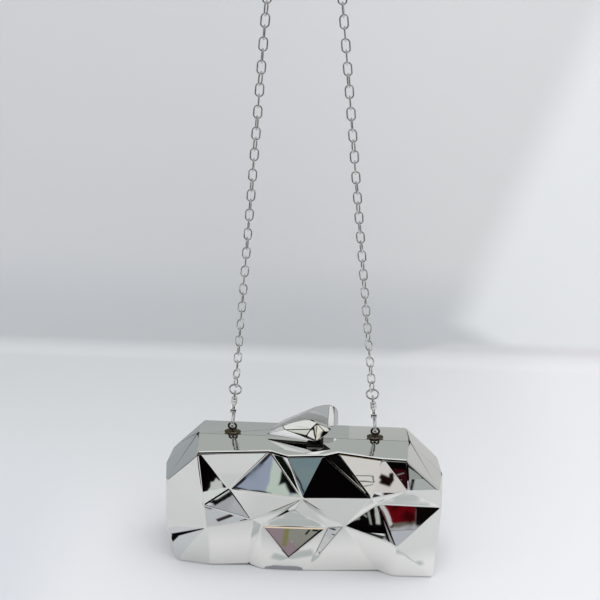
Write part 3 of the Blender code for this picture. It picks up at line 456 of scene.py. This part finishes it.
MERGE_DISTANCE = 0.00001
FLAT_ANGLE = math.radians(0.4)
CREASE_RADIUS = 0.0008
RIM_RADIUS = 0.0016
MOUTH_RADIUS = 0.0001
CREASE_STEPS = 4
LEAST_CREASE_ANGLE = math.radians(2.5)
LEAST_CREASE_LENGTH = 0.0015
LEAST_RIM_ANGLE = math.radians(48)
MOUTH_DEPTH = 0.0022

plating_tree, plating_in, plating_out = node_group(
    "mirror_plating", "ShaderNodeTree",
    {"Tint": "Color", "Wave Length": "Float", "Wave Height": "Float", "Polish": "Float", "Haze": "Float"},
    {"Colour": "Color", "Roughness": "Float", "Relief": "Float"})
place = plating_tree.nodes.new("ShaderNodeTexCoord").outputs["Object"]


def noise(tree, place, scale, detail=2.0, stretch=None):
    """A Noise Texture on a place; scale is a socket or a number, in patches to the metre."""
    if stretch is not None:
        spread = tree.nodes.new("ShaderNodeMapping")
        spread.inputs["Scale"].default_value = stretch
        tree.links.new(place, spread.inputs["Vector"])
        place = spread.outputs["Vector"]
    node = tree.nodes.new("ShaderNodeTexNoise")
    node.inputs["Detail"].default_value = detail
    tree.links.new(place, node.inputs["Vector"])
    if isinstance(scale, bpy.types.NodeSocket):
        tree.links.new(scale, node.inputs["Scale"])
    else:
        node.inputs["Scale"].default_value = scale
    return node.outputs["Fac"]


wave_scale = math_node(plating_tree, "DIVIDE", 1.0, plating_in["Wave Length"])
waves = noise(plating_tree, place, wave_scale, detail=1.0)
fine_waves = noise(plating_tree, place, math_node(plating_tree, "MULTIPLY", wave_scale, 5.0), detail=1.0)
both = math_node(plating_tree, "ADD", waves, math_node(plating_tree, "MULTIPLY", fine_waves, 0.06))
smudges = ramp_between(plating_tree, noise(plating_tree, place, 45.0, detail=4.0), 0.52, 0.75)
scratches = noise(plating_tree, place, 700.0, stretch=(0.05, 1.0, 1.0))
scratches = ramp_between(plating_tree, scratches, 0.66, 0.74)
worn = math_node(plating_tree, "ADD", smudges, math_node(plating_tree, "MULTIPLY", scratches, 0.5))
rough = math_node(plating_tree, "ADD", plating_in["Polish"],
                  math_node(plating_tree, "MULTIPLY", worn, plating_in["Haze"]))
dulled = mix_colours(plating_tree, math_node(plating_tree, "MULTIPLY", worn, 0.05), plating_in["Tint"],
                     (0.55, 0.56, 0.57))
plating_tree.links.new(dulled, plating_out["Colour"])
plating_tree.links.new(rough, plating_out["Roughness"])
plating_tree.links.new(math_node(plating_tree, "MULTIPLY", both, plating_in["Wave Height"]),
                       plating_out["Relief"])


def bumped(tree, shader, relief, unit):
    """Raises a shader's surface by a relief; unit is the height of a relief of 1, in metres."""
    bump = tree.nodes.new("ShaderNodeBump")
    bump.inputs["Distance"].default_value = unit
    tree.links.new(relief, bump.inputs["Height"])
    tree.links.new(bump.outputs["Normal"], shader.inputs["Normal"])


def plated(name, tint, wave_length, wave_height, polish, haze):
    """Mirror plating; its waves are given in millimetres of height over metres of length."""
    material, tree, shader = new_material(name)
    shader.inputs["Metallic"].default_value = 1.0
    plating = tree.nodes.new("ShaderNodeGroup")
    plating.node_tree = plating_tree
    plating.inputs["Tint"].default_value = (*tint, 1.0)
    plating.inputs["Wave Length"].default_value = wave_length
    plating.inputs["Wave Height"].default_value = wave_height
    plating.inputs["Polish"].default_value = polish
    plating.inputs["Haze"].default_value = haze
    tree.links.new(plating.outputs["Colour"], shader.inputs["Base Color"])
    tree.links.new(plating.outputs["Roughness"], shader.inputs["Roughness"])
    bumped(tree, shader, plating.outputs["Relief"], 0.001)
    return material


def merged_copy(node, name):
    """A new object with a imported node's shape, its corners joined and its flats whole."""
    bm = bmesh.new()
    bm.from_mesh(nodes[node].data)
    bmesh.ops.remove_doubles(bm, verts=bm.verts, dist=MERGE_DISTANCE)
    bmesh.ops.dissolve_limit(bm, angle_limit=FLAT_ANGLE, verts=bm.verts, edges=bm.edges)
    mesh = bpy.data.meshes.new(name)
    bm.to_mesh(mesh)
    bm.free()
    piece = bpy.data.objects.new(name, mesh)
    bpy.context.collection.objects.link(piece)
    return piece


def applied(piece):
    """Turns a piece's modifiers into plain mesh."""
    depsgraph = bpy.context.evaluated_depsgraph_get()
    mesh = bpy.data.meshes.new_from_object(piece.evaluated_get(depsgraph))
    piece.modifiers.clear()
    piece.data = mesh
    return piece


def roll_creases(piece, radius, steps, rim_radius=None):
    """Rounds every crease that is long enough to be a real fold, and keeps the flats flat."""
    widest = rim_radius or radius
    bm = bmesh.new()
    bm.from_mesh(piece.data)
    # The ring round the mouth is cut into triangles, so that no face is left across the
    # mouth once its edges are bevelled
    mouth = [face for face in bm.faces if all(abs(corner.co.y) < MOUTH_DEPTH for corner in face.verts)]
    bmesh.ops.triangulate(bm, faces=mouth)
    weight = bm.edges.layers.float.new("bevel_weight_edge")
    for edge in bm.edges:
        if edge.calc_face_angle() > LEAST_CREASE_ANGLE and edge.calc_length() > LEAST_CREASE_LENGTH:
            edge[weight] = radius / widest
            if rim_radius and all(abs(corner.co.y) < MOUTH_DEPTH for corner in edge.verts):
                edge[weight] = MOUTH_RADIUS / widest
            elif rim_radius and edge.calc_face_angle() > LEAST_RIM_ANGLE:
                edge[weight] = 1.0
        else:
            edge.smooth = False
    for face in bm.faces:
        face.smooth = True
    bm.to_mesh(piece.data)
    bm.free()
    bevel = piece.modifiers.new("creases", "BEVEL")
    bevel.limit_method = "WEIGHT"
    bevel.width = widest
    bevel.segments = steps
    bevel.use_clamp_overlap = False
    flats = piece.modifiers.new("flats", "WEIGHTED_NORMAL")
    flats.weight = 100
    flats.keep_sharp = True
    return applied(piece)


def dress(piece, material, body, slot, *replaced):
    """Gives a finished piece its material and its body, and hides the nodes it stands for; the slot is not
    used.
    """
    piece.data.materials.clear()
    piece.data.materials.append(material)
    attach(piece, body)
    if replaced:
        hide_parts(*replaced)
    return piece


shell_plating = plated("shell_plating", (0.86, 0.865, 0.86), 0.035, 0.012, 0.012, 0.03)
for half in ("front", "back"):
    shell = merged_copy(half + "_shell", half + "_mirror_shell")
    roll_creases(shell, CREASE_RADIUS, CREASE_STEPS, RIM_RADIUS)
    dress(shell, shell_plating, half + "_half", "mirror_chrome", half + "_shell")


# Rims and hinge: thin metal frames that stiffen the mouths, and a long hinge with its pin
# along the bottom. They have a plain satin finish, as have all pins, nuts and screws.

steel, tree, shader = new_material("satin_steel")
shader.inputs["Metallic"].default_value = 1.0
place = tree.nodes.new("ShaderNodeTexCoord").outputs["Object"]
grain = noise(tree, place, 900.0, stretch=(0.04, 1.0, 1.0))
patches = noise(tree, place, 60.0, detail=3.0)
tree.links.new(mix_colours(tree, patches, (0.56, 0.56, 0.57), (0.66, 0.66, 0.67)),
               shader.inputs["Base Color"])
tree.links.new(math_node(tree, "ADD", 0.24, math_node(tree, "MULTIPLY", grain, 0.18)),
               shader.inputs["Roughness"])
bumped(tree, shader, grain, 0.00002)
for name in ("front_rim", "back_rim", "front_knuckles", "back_knuckles", "hinge_pin",
             "left_gate_pin", "right_gate_pin", "left_eyelet_nut", "right_eyelet_nut",
             "front_clasp_screw", "back_clasp_screw"):
    nodes[name].data.materials.clear()
    nodes[name].data.materials.append(steel)


# Linings: dark woven cloth on stiff card, glued into each half behind its rim.

CARD_EDGE_RADIUS = 0.0008
CARD_EDGE_STEPS = 3

cloth, tree, shader = new_material("dark_lining")
shader.inputs["Roughness"].default_value = 0.85
shader.inputs["Sheen Weight"].default_value = 0.3
place = tree.nodes.new("ShaderNodeTexCoord").outputs["Object"]
threads = []
for direction in ("X", "Z"):
    wave = tree.nodes.new("ShaderNodeTexWave")
    wave.wave_type = "BANDS"
    wave.bands_direction = direction
    wave.inputs["Scale"].default_value = 700.0
    wave.inputs["Distortion"].default_value = 1.0
    tree.links.new(place, wave.inputs["Vector"])
    threads.append(wave.outputs["Fac"])
weave = math_node(tree, "MULTIPLY", *threads)
lint = noise(tree, place, 90.0, detail=4.0)
pale_threads = math_node(tree, "MULTIPLY", weave, lint)
tree.links.new(mix_colours(tree, pale_threads, (0.018, 0.018, 0.022), (0.075, 0.075, 0.085)),
               shader.inputs["Base Color"])
bumped(tree, shader, weave, 0.0001)
for half in ("front", "back"):
    lining = merged_copy(half + "_lining", half + "_cloth_lining")
    roll_creases(lining, CARD_EDGE_RADIUS, CARD_EDGE_STEPS)
    dress(lining, cloth, half + "_half", "lining_cloth", half + "_lining")


# Clasp: a cut piece on the front half and a tall fin on the back half, cast and plated like
# the shells, which a thumb pushes past each other to open the bag. The cut piece's foot and
# underside have a near-black plating, which is painted shade, and its back and the lower left
# of its front are left matt.

CLASP_CREASE_RADIUS = 0.0004
CLASP_CREASE_STEPS = 2
FOOT_TOP = 0.1086
UNDERSIDE_LEAN = -0.3
BACK_LEAN = 0.5
FRONT_LEAN = -0.9
LEFT_LEAN = -0.2

clasp_plating = plated("clasp_plating", (0.87, 0.87, 0.865), 0.012, 0.016, 0.012, 0.03)
# Near-black plating for the cut piece's foot and underside: painted shade
painted_shade_foot = plated("painted_shade_foot", (0.030, 0.028, 0.026), 0.012, 0.016, 0.08, 0.10)
fin_plating = plated("fin_plating", (0.87, 0.87, 0.87), 0.020, 0.010, 0.06, 0.04)
matt_back, tree, shader = new_material("matt_back")
shader.inputs["Specular IOR Level"].default_value = 0.2
place = tree.nodes.new("ShaderNodeTexCoord").outputs["Object"]
blasting = noise(tree, place, 1800.0, detail=3.0)
tree.links.new(mix_colours(tree, blasting, (0.84, 0.84, 0.83), (0.92, 0.92, 0.91)),
               shader.inputs["Base Color"])
tree.links.new(math_node(tree, "ADD", 0.5, math_node(tree, "MULTIPLY", blasting, 0.2)),
               shader.inputs["Roughness"])
bumped(tree, shader, blasting, 0.00002)

for half, plating in (("front", clasp_plating), ("back", fin_plating)):
    clasp = merged_copy(half + "_clasp", half + "_plated_clasp")
    roll_creases(clasp, CLASP_CREASE_RADIUS, CLASP_CREASE_STEPS)
    dress(clasp, plating, half + "_half", "mirror_chrome", half + "_clasp")
    if half == "front":
        clasp.data.materials.append(painted_shade_foot)
        clasp.data.materials.append(matt_back)
        for face in clasp.data.polygons:
            lean = face.normal
            # Faces that face down or lie below the foot's top take the near-black plating: painted shade
            if lean.z < UNDERSIDE_LEAN or face.center.z < FOOT_TOP:
                face.material_index = 1
            elif lean.y > BACK_LEAN or (lean.y < FRONT_LEAN and lean.x < LEFT_LEAN):
                face.material_index = 2


# Eyelets: each is a ring cast on an oval foot. Its stem goes through the roof of the back
# half, where a nut holds it.

EYELET_SPREAD = 0.0493
EYELET_SETBACK = 0.0026
ROOF_HEIGHT = 0.1050
FOOT_LENGTH = 0.0115
FOOT_WIDTH = 0.0066
FOOT_PROFILE = ((0.0000, 0.0000), (0.0032, 0.0000), (0.0033, 0.0002), (0.0033, 0.0005), (0.0030, 0.0008),
                (0.0024, 0.0010), (0.0022, 0.0013), (0.0015, 0.0014), (0.0000, 0.0014))
NECK_PROFILE = ((0.0000, 0.0010), (0.0016, 0.0010), (0.0015, 0.0016), (0.0010, 0.0022), (0.0009, 0.0027),
                (0.0000, 0.0027))
STEM_RADIUS = 0.0015
STEM_CHAMFER = 0.0002
STEM_TOP = 0.0005
RING_HEIGHT = 0.0052
RING_RADIUS = 0.00265
RING_WIRE = 0.00075

strap_plating = plated("strap_plating", (0.80, 0.80, 0.80), 0.004, 0.004, 0.05, 0.08)
# The eyelets' plating is tinted dark brown, close to black: painted dark reflection
eyelet_plating = plated("eyelet_plating", (0.115, 0.10, 0.075), 0.003, 0.006, 0.06, 0.10)


def round_steps(count):
    """The cosine and the sine of each step of a full turn."""
    return [(math.cos(2 * math.pi * k / count), math.sin(2 * math.pi * k / count)) for k in range(count)]


def turned(bm, profile, where, sides=40):
    """Adds a turned solid to a mesh in the making: radii and heights about Z, then moved."""
    rows = []
    for radius, height in profile:
        if radius == 0.0:
            rows.append([bm.verts.new(where @ Vector((0, 0, height)))])
        else:
            rows.append([bm.verts.new(where @ Vector((radius * cosine, radius * sine, height)))
                         for cosine, sine in round_steps(sides)])
    for lower, upper in zip(rows, rows[1:]):
        for k in range(sides):
            corners = [lower[k % len(lower)], lower[(k + 1) % len(lower)],
                       upper[(k + 1) % len(upper)], upper[k % len(upper)]]
            bm.faces.new(list(dict.fromkeys(corners)))


def bent_bar(bm, points, radii, across, where, sides=16, closed=False):
    """Adds a round bar that follows points in one plane; across is that plane's normal."""
    count = len(points)
    rows = []
    for i in range(count):
        before = points[i - 1] if closed or i > 0 else points[i]
        after = points[(i + 1) % count] if closed or i < count - 1 else points[i]
        out = (after - before).normalized().cross(across)
        rows.append([bm.verts.new(where @ (points[i] + radii[i] * (cosine * out + sine * across)))
                     for cosine, sine in round_steps(sides)])
    for i in range(count if closed else count - 1):
        near, far = rows[i], rows[(i + 1) % count]
        for k in range(sides):
            bm.faces.new((near[k], near[(k + 1) % sides], far[(k + 1) % sides], far[k]))
    if not closed:
        bm.faces.new(rows[0])
        bm.faces.new(rows[-1])


def eased(points, radii, steps):
    """A smooth run through points and the radii at them."""
    line, girths = [], []
    for i in range(len(points) - 1):
        a, b = points[max(i - 1, 0)], points[i]
        c, d = points[i + 1], points[min(i + 2, len(points) - 1)]
        for step in range(steps):
            t = step / steps
            line.append(0.5 * (2 * b + (c - a) * t + (2 * a - 5 * b + 4 * c - d) * t ** 2
                               + (3 * b - a - 3 * c + d) * t ** 3))
            girths.append(radii[i] + (radii[i + 1] - radii[i]) * t)
    return line + [points[-1]], girths + [radii[-1]]


def domed(points, radii, start=True, end=True):
    """Adds points past the ends of a bar, where its radius closes to a dome."""
    points, radii = list(points), list(radii)
    for wanted, tip, inner, at in ((start, points[0], points[1], 0), (end, points[-1], points[-2], -1)):
        if wanted:
            way, girth = (tip - inner).normalized(), radii[at]
            cap = [(tip + way * girth * math.sin(math.radians(a)), girth * math.cos(math.radians(a)))
                   for a in (25, 50, 70, 86)]
            if at == 0:
                points = [p for p, _ in reversed(cap)] + points
                radii = [r for _, r in reversed(cap)] + radii
            else:
                points, radii = points + [p for p, _ in cap], radii + [r for _, r in cap]
    return points, radii


def hoop(bm, radius, bar, across, middle, where, turns=48, sides=16):
    """Adds a ring whose plane is square to across."""
    first = Vector((0, 0, 1))
    second = across.cross(first)
    points = [middle + radius * (cosine * first + sine * second) for cosine, sine in round_steps(turns)]
    bent_bar(bm, points, [bar] * turns, across, where, sides, closed=True)


def finished(name, bm, smooth_angle=50):
    """Makes an object of a mesh in the making, smooth but for its sharp edges."""
    bmesh.ops.recalc_face_normals(bm, faces=bm.faces)
    mesh = bpy.data.meshes.new(name)
    bm.to_mesh(mesh)
    bm.free()
    mesh.shade_smooth()
    mesh.set_sharp_from_angle(angle=math.radians(smooth_angle))
    piece = bpy.data.objects.new(name, mesh)
    bpy.context.collection.objects.link(piece)
    return piece


X_AXIS, Y_AXIS = Vector((1, 0, 0)), Vector((0, 1, 0))
for word, way in (("left", -1), ("right", 1)):
    bm = bmesh.new()
    foot_place = Matrix.Translation((way * EYELET_SPREAD, EYELET_SETBACK, ROOF_HEIGHT))
    turned(bm, FOOT_PROFILE, foot_place @ Matrix.Diagonal((FOOT_LENGTH / FOOT_WIDTH, 1, 1, 1)), sides=64)
    turned(bm, NECK_PROFILE, foot_place)
    stem_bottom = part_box(word + "_eyelet")[0][2] - ROOF_HEIGHT
    turned(bm, ((0.0, stem_bottom), (STEM_RADIUS - STEM_CHAMFER, stem_bottom),
                (STEM_RADIUS, stem_bottom + STEM_CHAMFER), (STEM_RADIUS, STEM_TOP), (0.0, STEM_TOP)),
           foot_place, sides=24)
    hoop(bm, RING_RADIUS, RING_WIRE, Y_AXIS, Vector((0, 0, RING_HEIGHT)), foot_place)
    eyelet = finished(word + "_cast_eyelet", bm)
    dress(eyelet, eyelet_plating, "back_half", "strap_chrome", word + "_eyelet")


# Snap hooks: a bent bar with an eye on a swivel at its top and a sprung gate across its
# mouth. They hang in the eyelets and are drawn up by the strap, which leans inwards.

STRAP_LEAN = math.radians(5.58)
HOOK_SMOOTH_ANGLE = 38
HANG_CLEARANCE = 0.0003
BAR_RADIUS = 0.0011
BEND_RADIUS = 0.0039
BEND_BOTTOM = RING_RADIUS - RING_WIRE - BAR_RADIUS - HANG_CLEARANCE
BEND_MIDDLE = BEND_BOTTOM + BEND_RADIUS
TIP_HEIGHT = 0.0060
ARM_PATH = ((BEND_RADIUS, 0.0100), (0.0036, 0.0145), (0.0023, 0.0180), (0.0006, 0.0212))
ARM_RADII = (BAR_RADIUS, 0.00118, 0.0014, 0.0018, 0.0018)
CHEEK_RADIUS = 0.0019
CHEEK_GAP = 0.0011
CHEEK_THICKNESS = 0.0008
CHEEK_TOP = ((-0.0001, 0.0212), (0.0010, 0.0180), (-0.0012, 0.0157))
PIVOT = Vector((0, -0.86 * BEND_RADIUS, 0.0165))
COLLAR_PROFILE = ((0.0000, 0.0188), (0.0017, 0.0190), (0.0021, 0.0194), (0.0021, 0.0222), (0.0018, 0.0225),
                  (0.0018, 0.0228), (0.0021, 0.0231), (0.0021, 0.0243), (0.0017, 0.0247), (0.0010, 0.0249),
                  (0.0010, 0.0256), (0.0000, 0.0256))
EYE_HEIGHT = 0.0272
EYE_RADIUS = 0.0023
EYE_BAR = 0.0008
BARREL_PROFILE = ((0.0007, -0.0008), (0.0013, -0.0008), (0.0014, -0.0007), (0.0014, 0.0007),
                  (0.0013, 0.0008), (0.0007, 0.0008), (0.0007, -0.0008))
GATE_TIP = Vector((0, -BEND_RADIUS, 0.0066))
GATE_ROOT = 0.0007
GATE_BAR = 0.0009
GATE_SHARES = (0.10, 0.30, 0.60, 1.00)

strand_frames = {}
for word, way in (("left", -1), ("right", 1)):
    place = Matrix.Translation((way * EYELET_SPREAD, EYELET_SETBACK, ROOF_HEIGHT + RING_HEIGHT))
    place = place @ Matrix.Rotation(-way * STRAP_LEAN, 4, "Y")
    strand_frames[word] = place

    bm = bmesh.new()
    bend = [Vector((0, BEND_RADIUS * math.sin(math.radians(a)),
                    BEND_MIDDLE - BEND_RADIUS * math.cos(math.radians(a)))) for a in range(-90, 91, 6)]
    rise, girths = eased([bend[-1]] + [Vector((0, y, z)) for y, z in ARM_PATH], ARM_RADII, 5)
    points = [Vector((0, -BEND_RADIUS, TIP_HEIGHT))] + bend + rise[1:]
    radii = [BAR_RADIUS] * (1 + len(bend)) + girths[1:]
    points, radii = domed(points, radii, end=False)
    bent_bar(bm, points, radii, X_AXIS, place)
    for turn in (-1, 1):
        cheek = [PIVOT.yz + CHEEK_RADIUS * Vector((math.sin(math.radians(a)), math.cos(math.radians(a))))
                 for a in range(135, 346, 15)]
        cheek += [Vector(corner) for corner in CHEEK_TOP]
        near = [bm.verts.new(place @ Vector((turn * CHEEK_GAP, y, z))) for y, z in cheek]
        far = [bm.verts.new(place @ Vector((turn * (CHEEK_GAP + CHEEK_THICKNESS), y, z))) for y, z in cheek]
        bm.faces.new(near)
        bm.faces.new(far)
        for k in range(len(cheek)):
            bm.faces.new((near[k], near[(k + 1) % len(cheek)], far[(k + 1) % len(cheek)], far[k]))
    turned(bm, COLLAR_PROFILE, place)
    hoop(bm, EYE_RADIUS, EYE_BAR, X_AXIS, Vector((0, 0, EYE_HEIGHT)), place)
    hook = finished(word + "_snap_hook", bm, HOOK_SMOOTH_ANGLE)
    dress(hook, strap_plating, "back_half", "strap_chrome", word + "_hook")

    bm = bmesh.new()
    barrel = Matrix.Translation(PIVOT) @ Matrix.Rotation(math.radians(90), 4, "Y")
    turned(bm, BARREL_PROFILE, place @ barrel)
    reach = GATE_TIP - PIVOT
    points, radii = domed([PIVOT + reach * share for share in GATE_SHARES], [GATE_ROOT] + [GATE_BAR] * 3,
                          start=False)
    bent_bar(bm, points, radii, X_AXIS, place)
    gate = finished(word + "_sprung_gate", bm)
    dress(gate, strap_plating, word + "_gate_body", "strap_chrome", word + "_gate")


# Strap: a jump ring on each hook's eye, and between them a chain of oval links, each
# bent from round wire and hung in its neighbours.

JUMP_RING_HEIGHT = 0.03175
JUMP_RING_RADIUS = 0.0040
JUMP_RING_WIRE = 0.00065
LINK_LENGTH = 0.0089
LINK_WIDTH = 0.0056
LINK_WIRE = 0.0005
LINK_COUNT = 91
LINK_SIDES = 10
LINK_SIDES_SWELL = 1.05
LINK_BITE = 0.00015
PACKED_LINK_TURNS = 8
PACKED_LINK_SWELL = 1.1

for word in ("left", "right"):
    bm = bmesh.new()
    hoop(bm, JUMP_RING_RADIUS, JUMP_RING_WIRE, Y_AXIS, Vector((0, 0, JUMP_RING_HEIGHT)),
         strand_frames[word], turns=64, sides=14)
    dress(finished(word + "_jump_ring", bm), strap_plating, "back_half", "strap_chrome", word + "_ring")

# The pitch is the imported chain's, whose coarser links are bent in fewer turns, so that each
# fine link hangs in the place of a packed one
link_stretch = (LINK_LENGTH - LINK_WIDTH) / 2
link_bend = LINK_WIDTH / 2 - LINK_WIRE
packed_hole = link_bend - LINK_WIRE * PACKED_LINK_SWELL
inner_end = link_stretch + packed_hole * math.cos(math.pi / PACKED_LINK_TURNS)
pitch = 2 * inner_end + LINK_BITE
rise = JUMP_RING_HEIGHT + JUMP_RING_RADIUS - JUMP_RING_WIRE - HANG_CLEARANCE + inner_end
sine, cosine = math.sin(STRAP_LEAN), math.cos(STRAP_LEAN)
start = Vector((-EYELET_SPREAD + rise * sine, EYELET_SETBACK, ROOF_HEIGHT + RING_HEIGHT + rise * cosine))
run = (LINK_COUNT - 1) * pitch
arc_angle = math.pi - 2 * STRAP_LEAN
arc_radius = (-2 * start.x / sine - run) / (2 * cosine / sine - arc_angle)
straight = (run - arc_radius * arc_angle) / 2
arc_middle = Vector((0, start.y, start.z + straight * cosine - arc_radius * sine))

places = bpy.data.meshes.new("link_places")
middles, turns = [], []
for i in range(LINK_COUNT):
    along = i * pitch
    if along <= straight:
        way = Vector((sine, 0, cosine))
        middles.append(start + way * along)
    elif along >= run - straight:
        way = Vector((sine, 0, -cosine))
        middles.append(Vector((-start.x, start.y, start.z)) - way * (run - along))
    else:
        swung = STRAP_LEAN + (along - straight) / arc_radius
        way = Vector((math.sin(swung), 0, math.cos(swung)))
        middles.append(arc_middle + arc_radius * Vector((-math.cos(swung), 0, math.sin(swung))))
    # Each link hangs some degrees off square to the last, and the strap's ends are twisted most
    from_end = min(i, LINK_COUNT - 1 - i)
    slack = 12 * math.sin(2.1 * i) + 9 * math.sin(0.9 * i + 1.0) + 22 * math.exp(-from_end / 9)
    quarter = Matrix.Rotation(math.radians(90 * (1 - i % 2) + slack), 3, way)
    turn = quarter @ Vector((0, 0, 1)).rotation_difference(way).to_matrix()
    turns.append(turn.to_euler())
places.from_pydata(middles, [], [])
turn_values = places.attributes.new("turn", "FLOAT_VECTOR", "POINT")
for item, turn in zip(turn_values.data, turns):
    item.vector = turn[:]

links_tree, links_in, links_out = node_group(
    "chain_links", "GeometryNodeTree",
    {"Geometry": "Geometry", "Bend Radius": "Float", "Stretch": "Float", "Wire Radius": "Float",
     "Material": "Material"},
    {"Geometry": "Geometry"})


def link_node(kind, **sockets):
    """A node of the link tree with its inputs set or wired by name."""
    node = links_tree.nodes.new(kind)
    for name, value in sockets.items():
        socket = node.inputs[name.replace("_", " ")]
        if isinstance(value, bpy.types.NodeSocket):
            links_tree.links.new(value, socket)
        else:
            socket.default_value = value
    return node


loop = link_node("GeometryNodeCurvePrimitiveCircle", Resolution=32, Radius=links_in["Bend Radius"])
where = links_tree.nodes.new("GeometryNodeInputPosition")
side = math_node(links_tree, "SIGN", split(links_tree, where.outputs[0])["Y"])
shift = links_tree.nodes.new("ShaderNodeCombineXYZ")
links_tree.links.new(math_node(links_tree, "MULTIPLY", side, links_in["Stretch"]), shift.inputs["Y"])
drawn = link_node("GeometryNodeSetPosition", Geometry=loop.outputs["Curve"], Offset=shift.outputs[0])
section = link_node("GeometryNodeCurvePrimitiveCircle", Resolution=LINK_SIDES,
                    Radius=links_in["Wire Radius"])
bent = link_node("GeometryNodeCurveToMesh", Curve=drawn.outputs[0], Profile_Curve=section.outputs["Curve"])
smooth = link_node("GeometryNodeSetShadeSmooth", Geometry=bent.outputs[0])
stood = link_node("GeometryNodeTransform", Geometry=smooth.outputs[0])
stood.inputs["Rotation"].default_value = (math.radians(90), 0.0, 0.0)
turn_read = links_tree.nodes.new("GeometryNodeInputNamedAttribute")
turn_read.data_type = "FLOAT_VECTOR"
turn_read.inputs["Name"].default_value = "turn"
hung = link_node("GeometryNodeInstanceOnPoints", Points=links_in["Geometry"], Instance=stood.outputs[0],
                 Rotation=turn_read.outputs["Attribute"])
real = link_node("GeometryNodeRealizeInstances", Geometry=hung.outputs[0])
coated = link_node("GeometryNodeSetMaterial", Geometry=real.outputs[0], Material=links_in["Material"])
links_tree.links.new(coated.outputs[0], links_out["Geometry"])

chain = bpy.data.objects.new("linked_chain", places)
bpy.context.collection.objects.link(chain)
maker = chain.modifiers.new("links", "NODES")
maker.node_group = links_tree
# The wire is drawn a little thicker, so that its flat sides lie where the round wire does
values = {"Bend Radius": link_bend, "Stretch": link_stretch, "Wire Radius": LINK_WIRE * LINK_SIDES_SWELL,
          "Material": strap_plating}
for item in links_tree.interface.items_tree:
    if item.in_out == "INPUT" and item.name in values:
        maker[item.identifier] = values[item.name]
applied(chain)
dress(chain, strap_plating, "back_half", "strap_chrome", "chain")
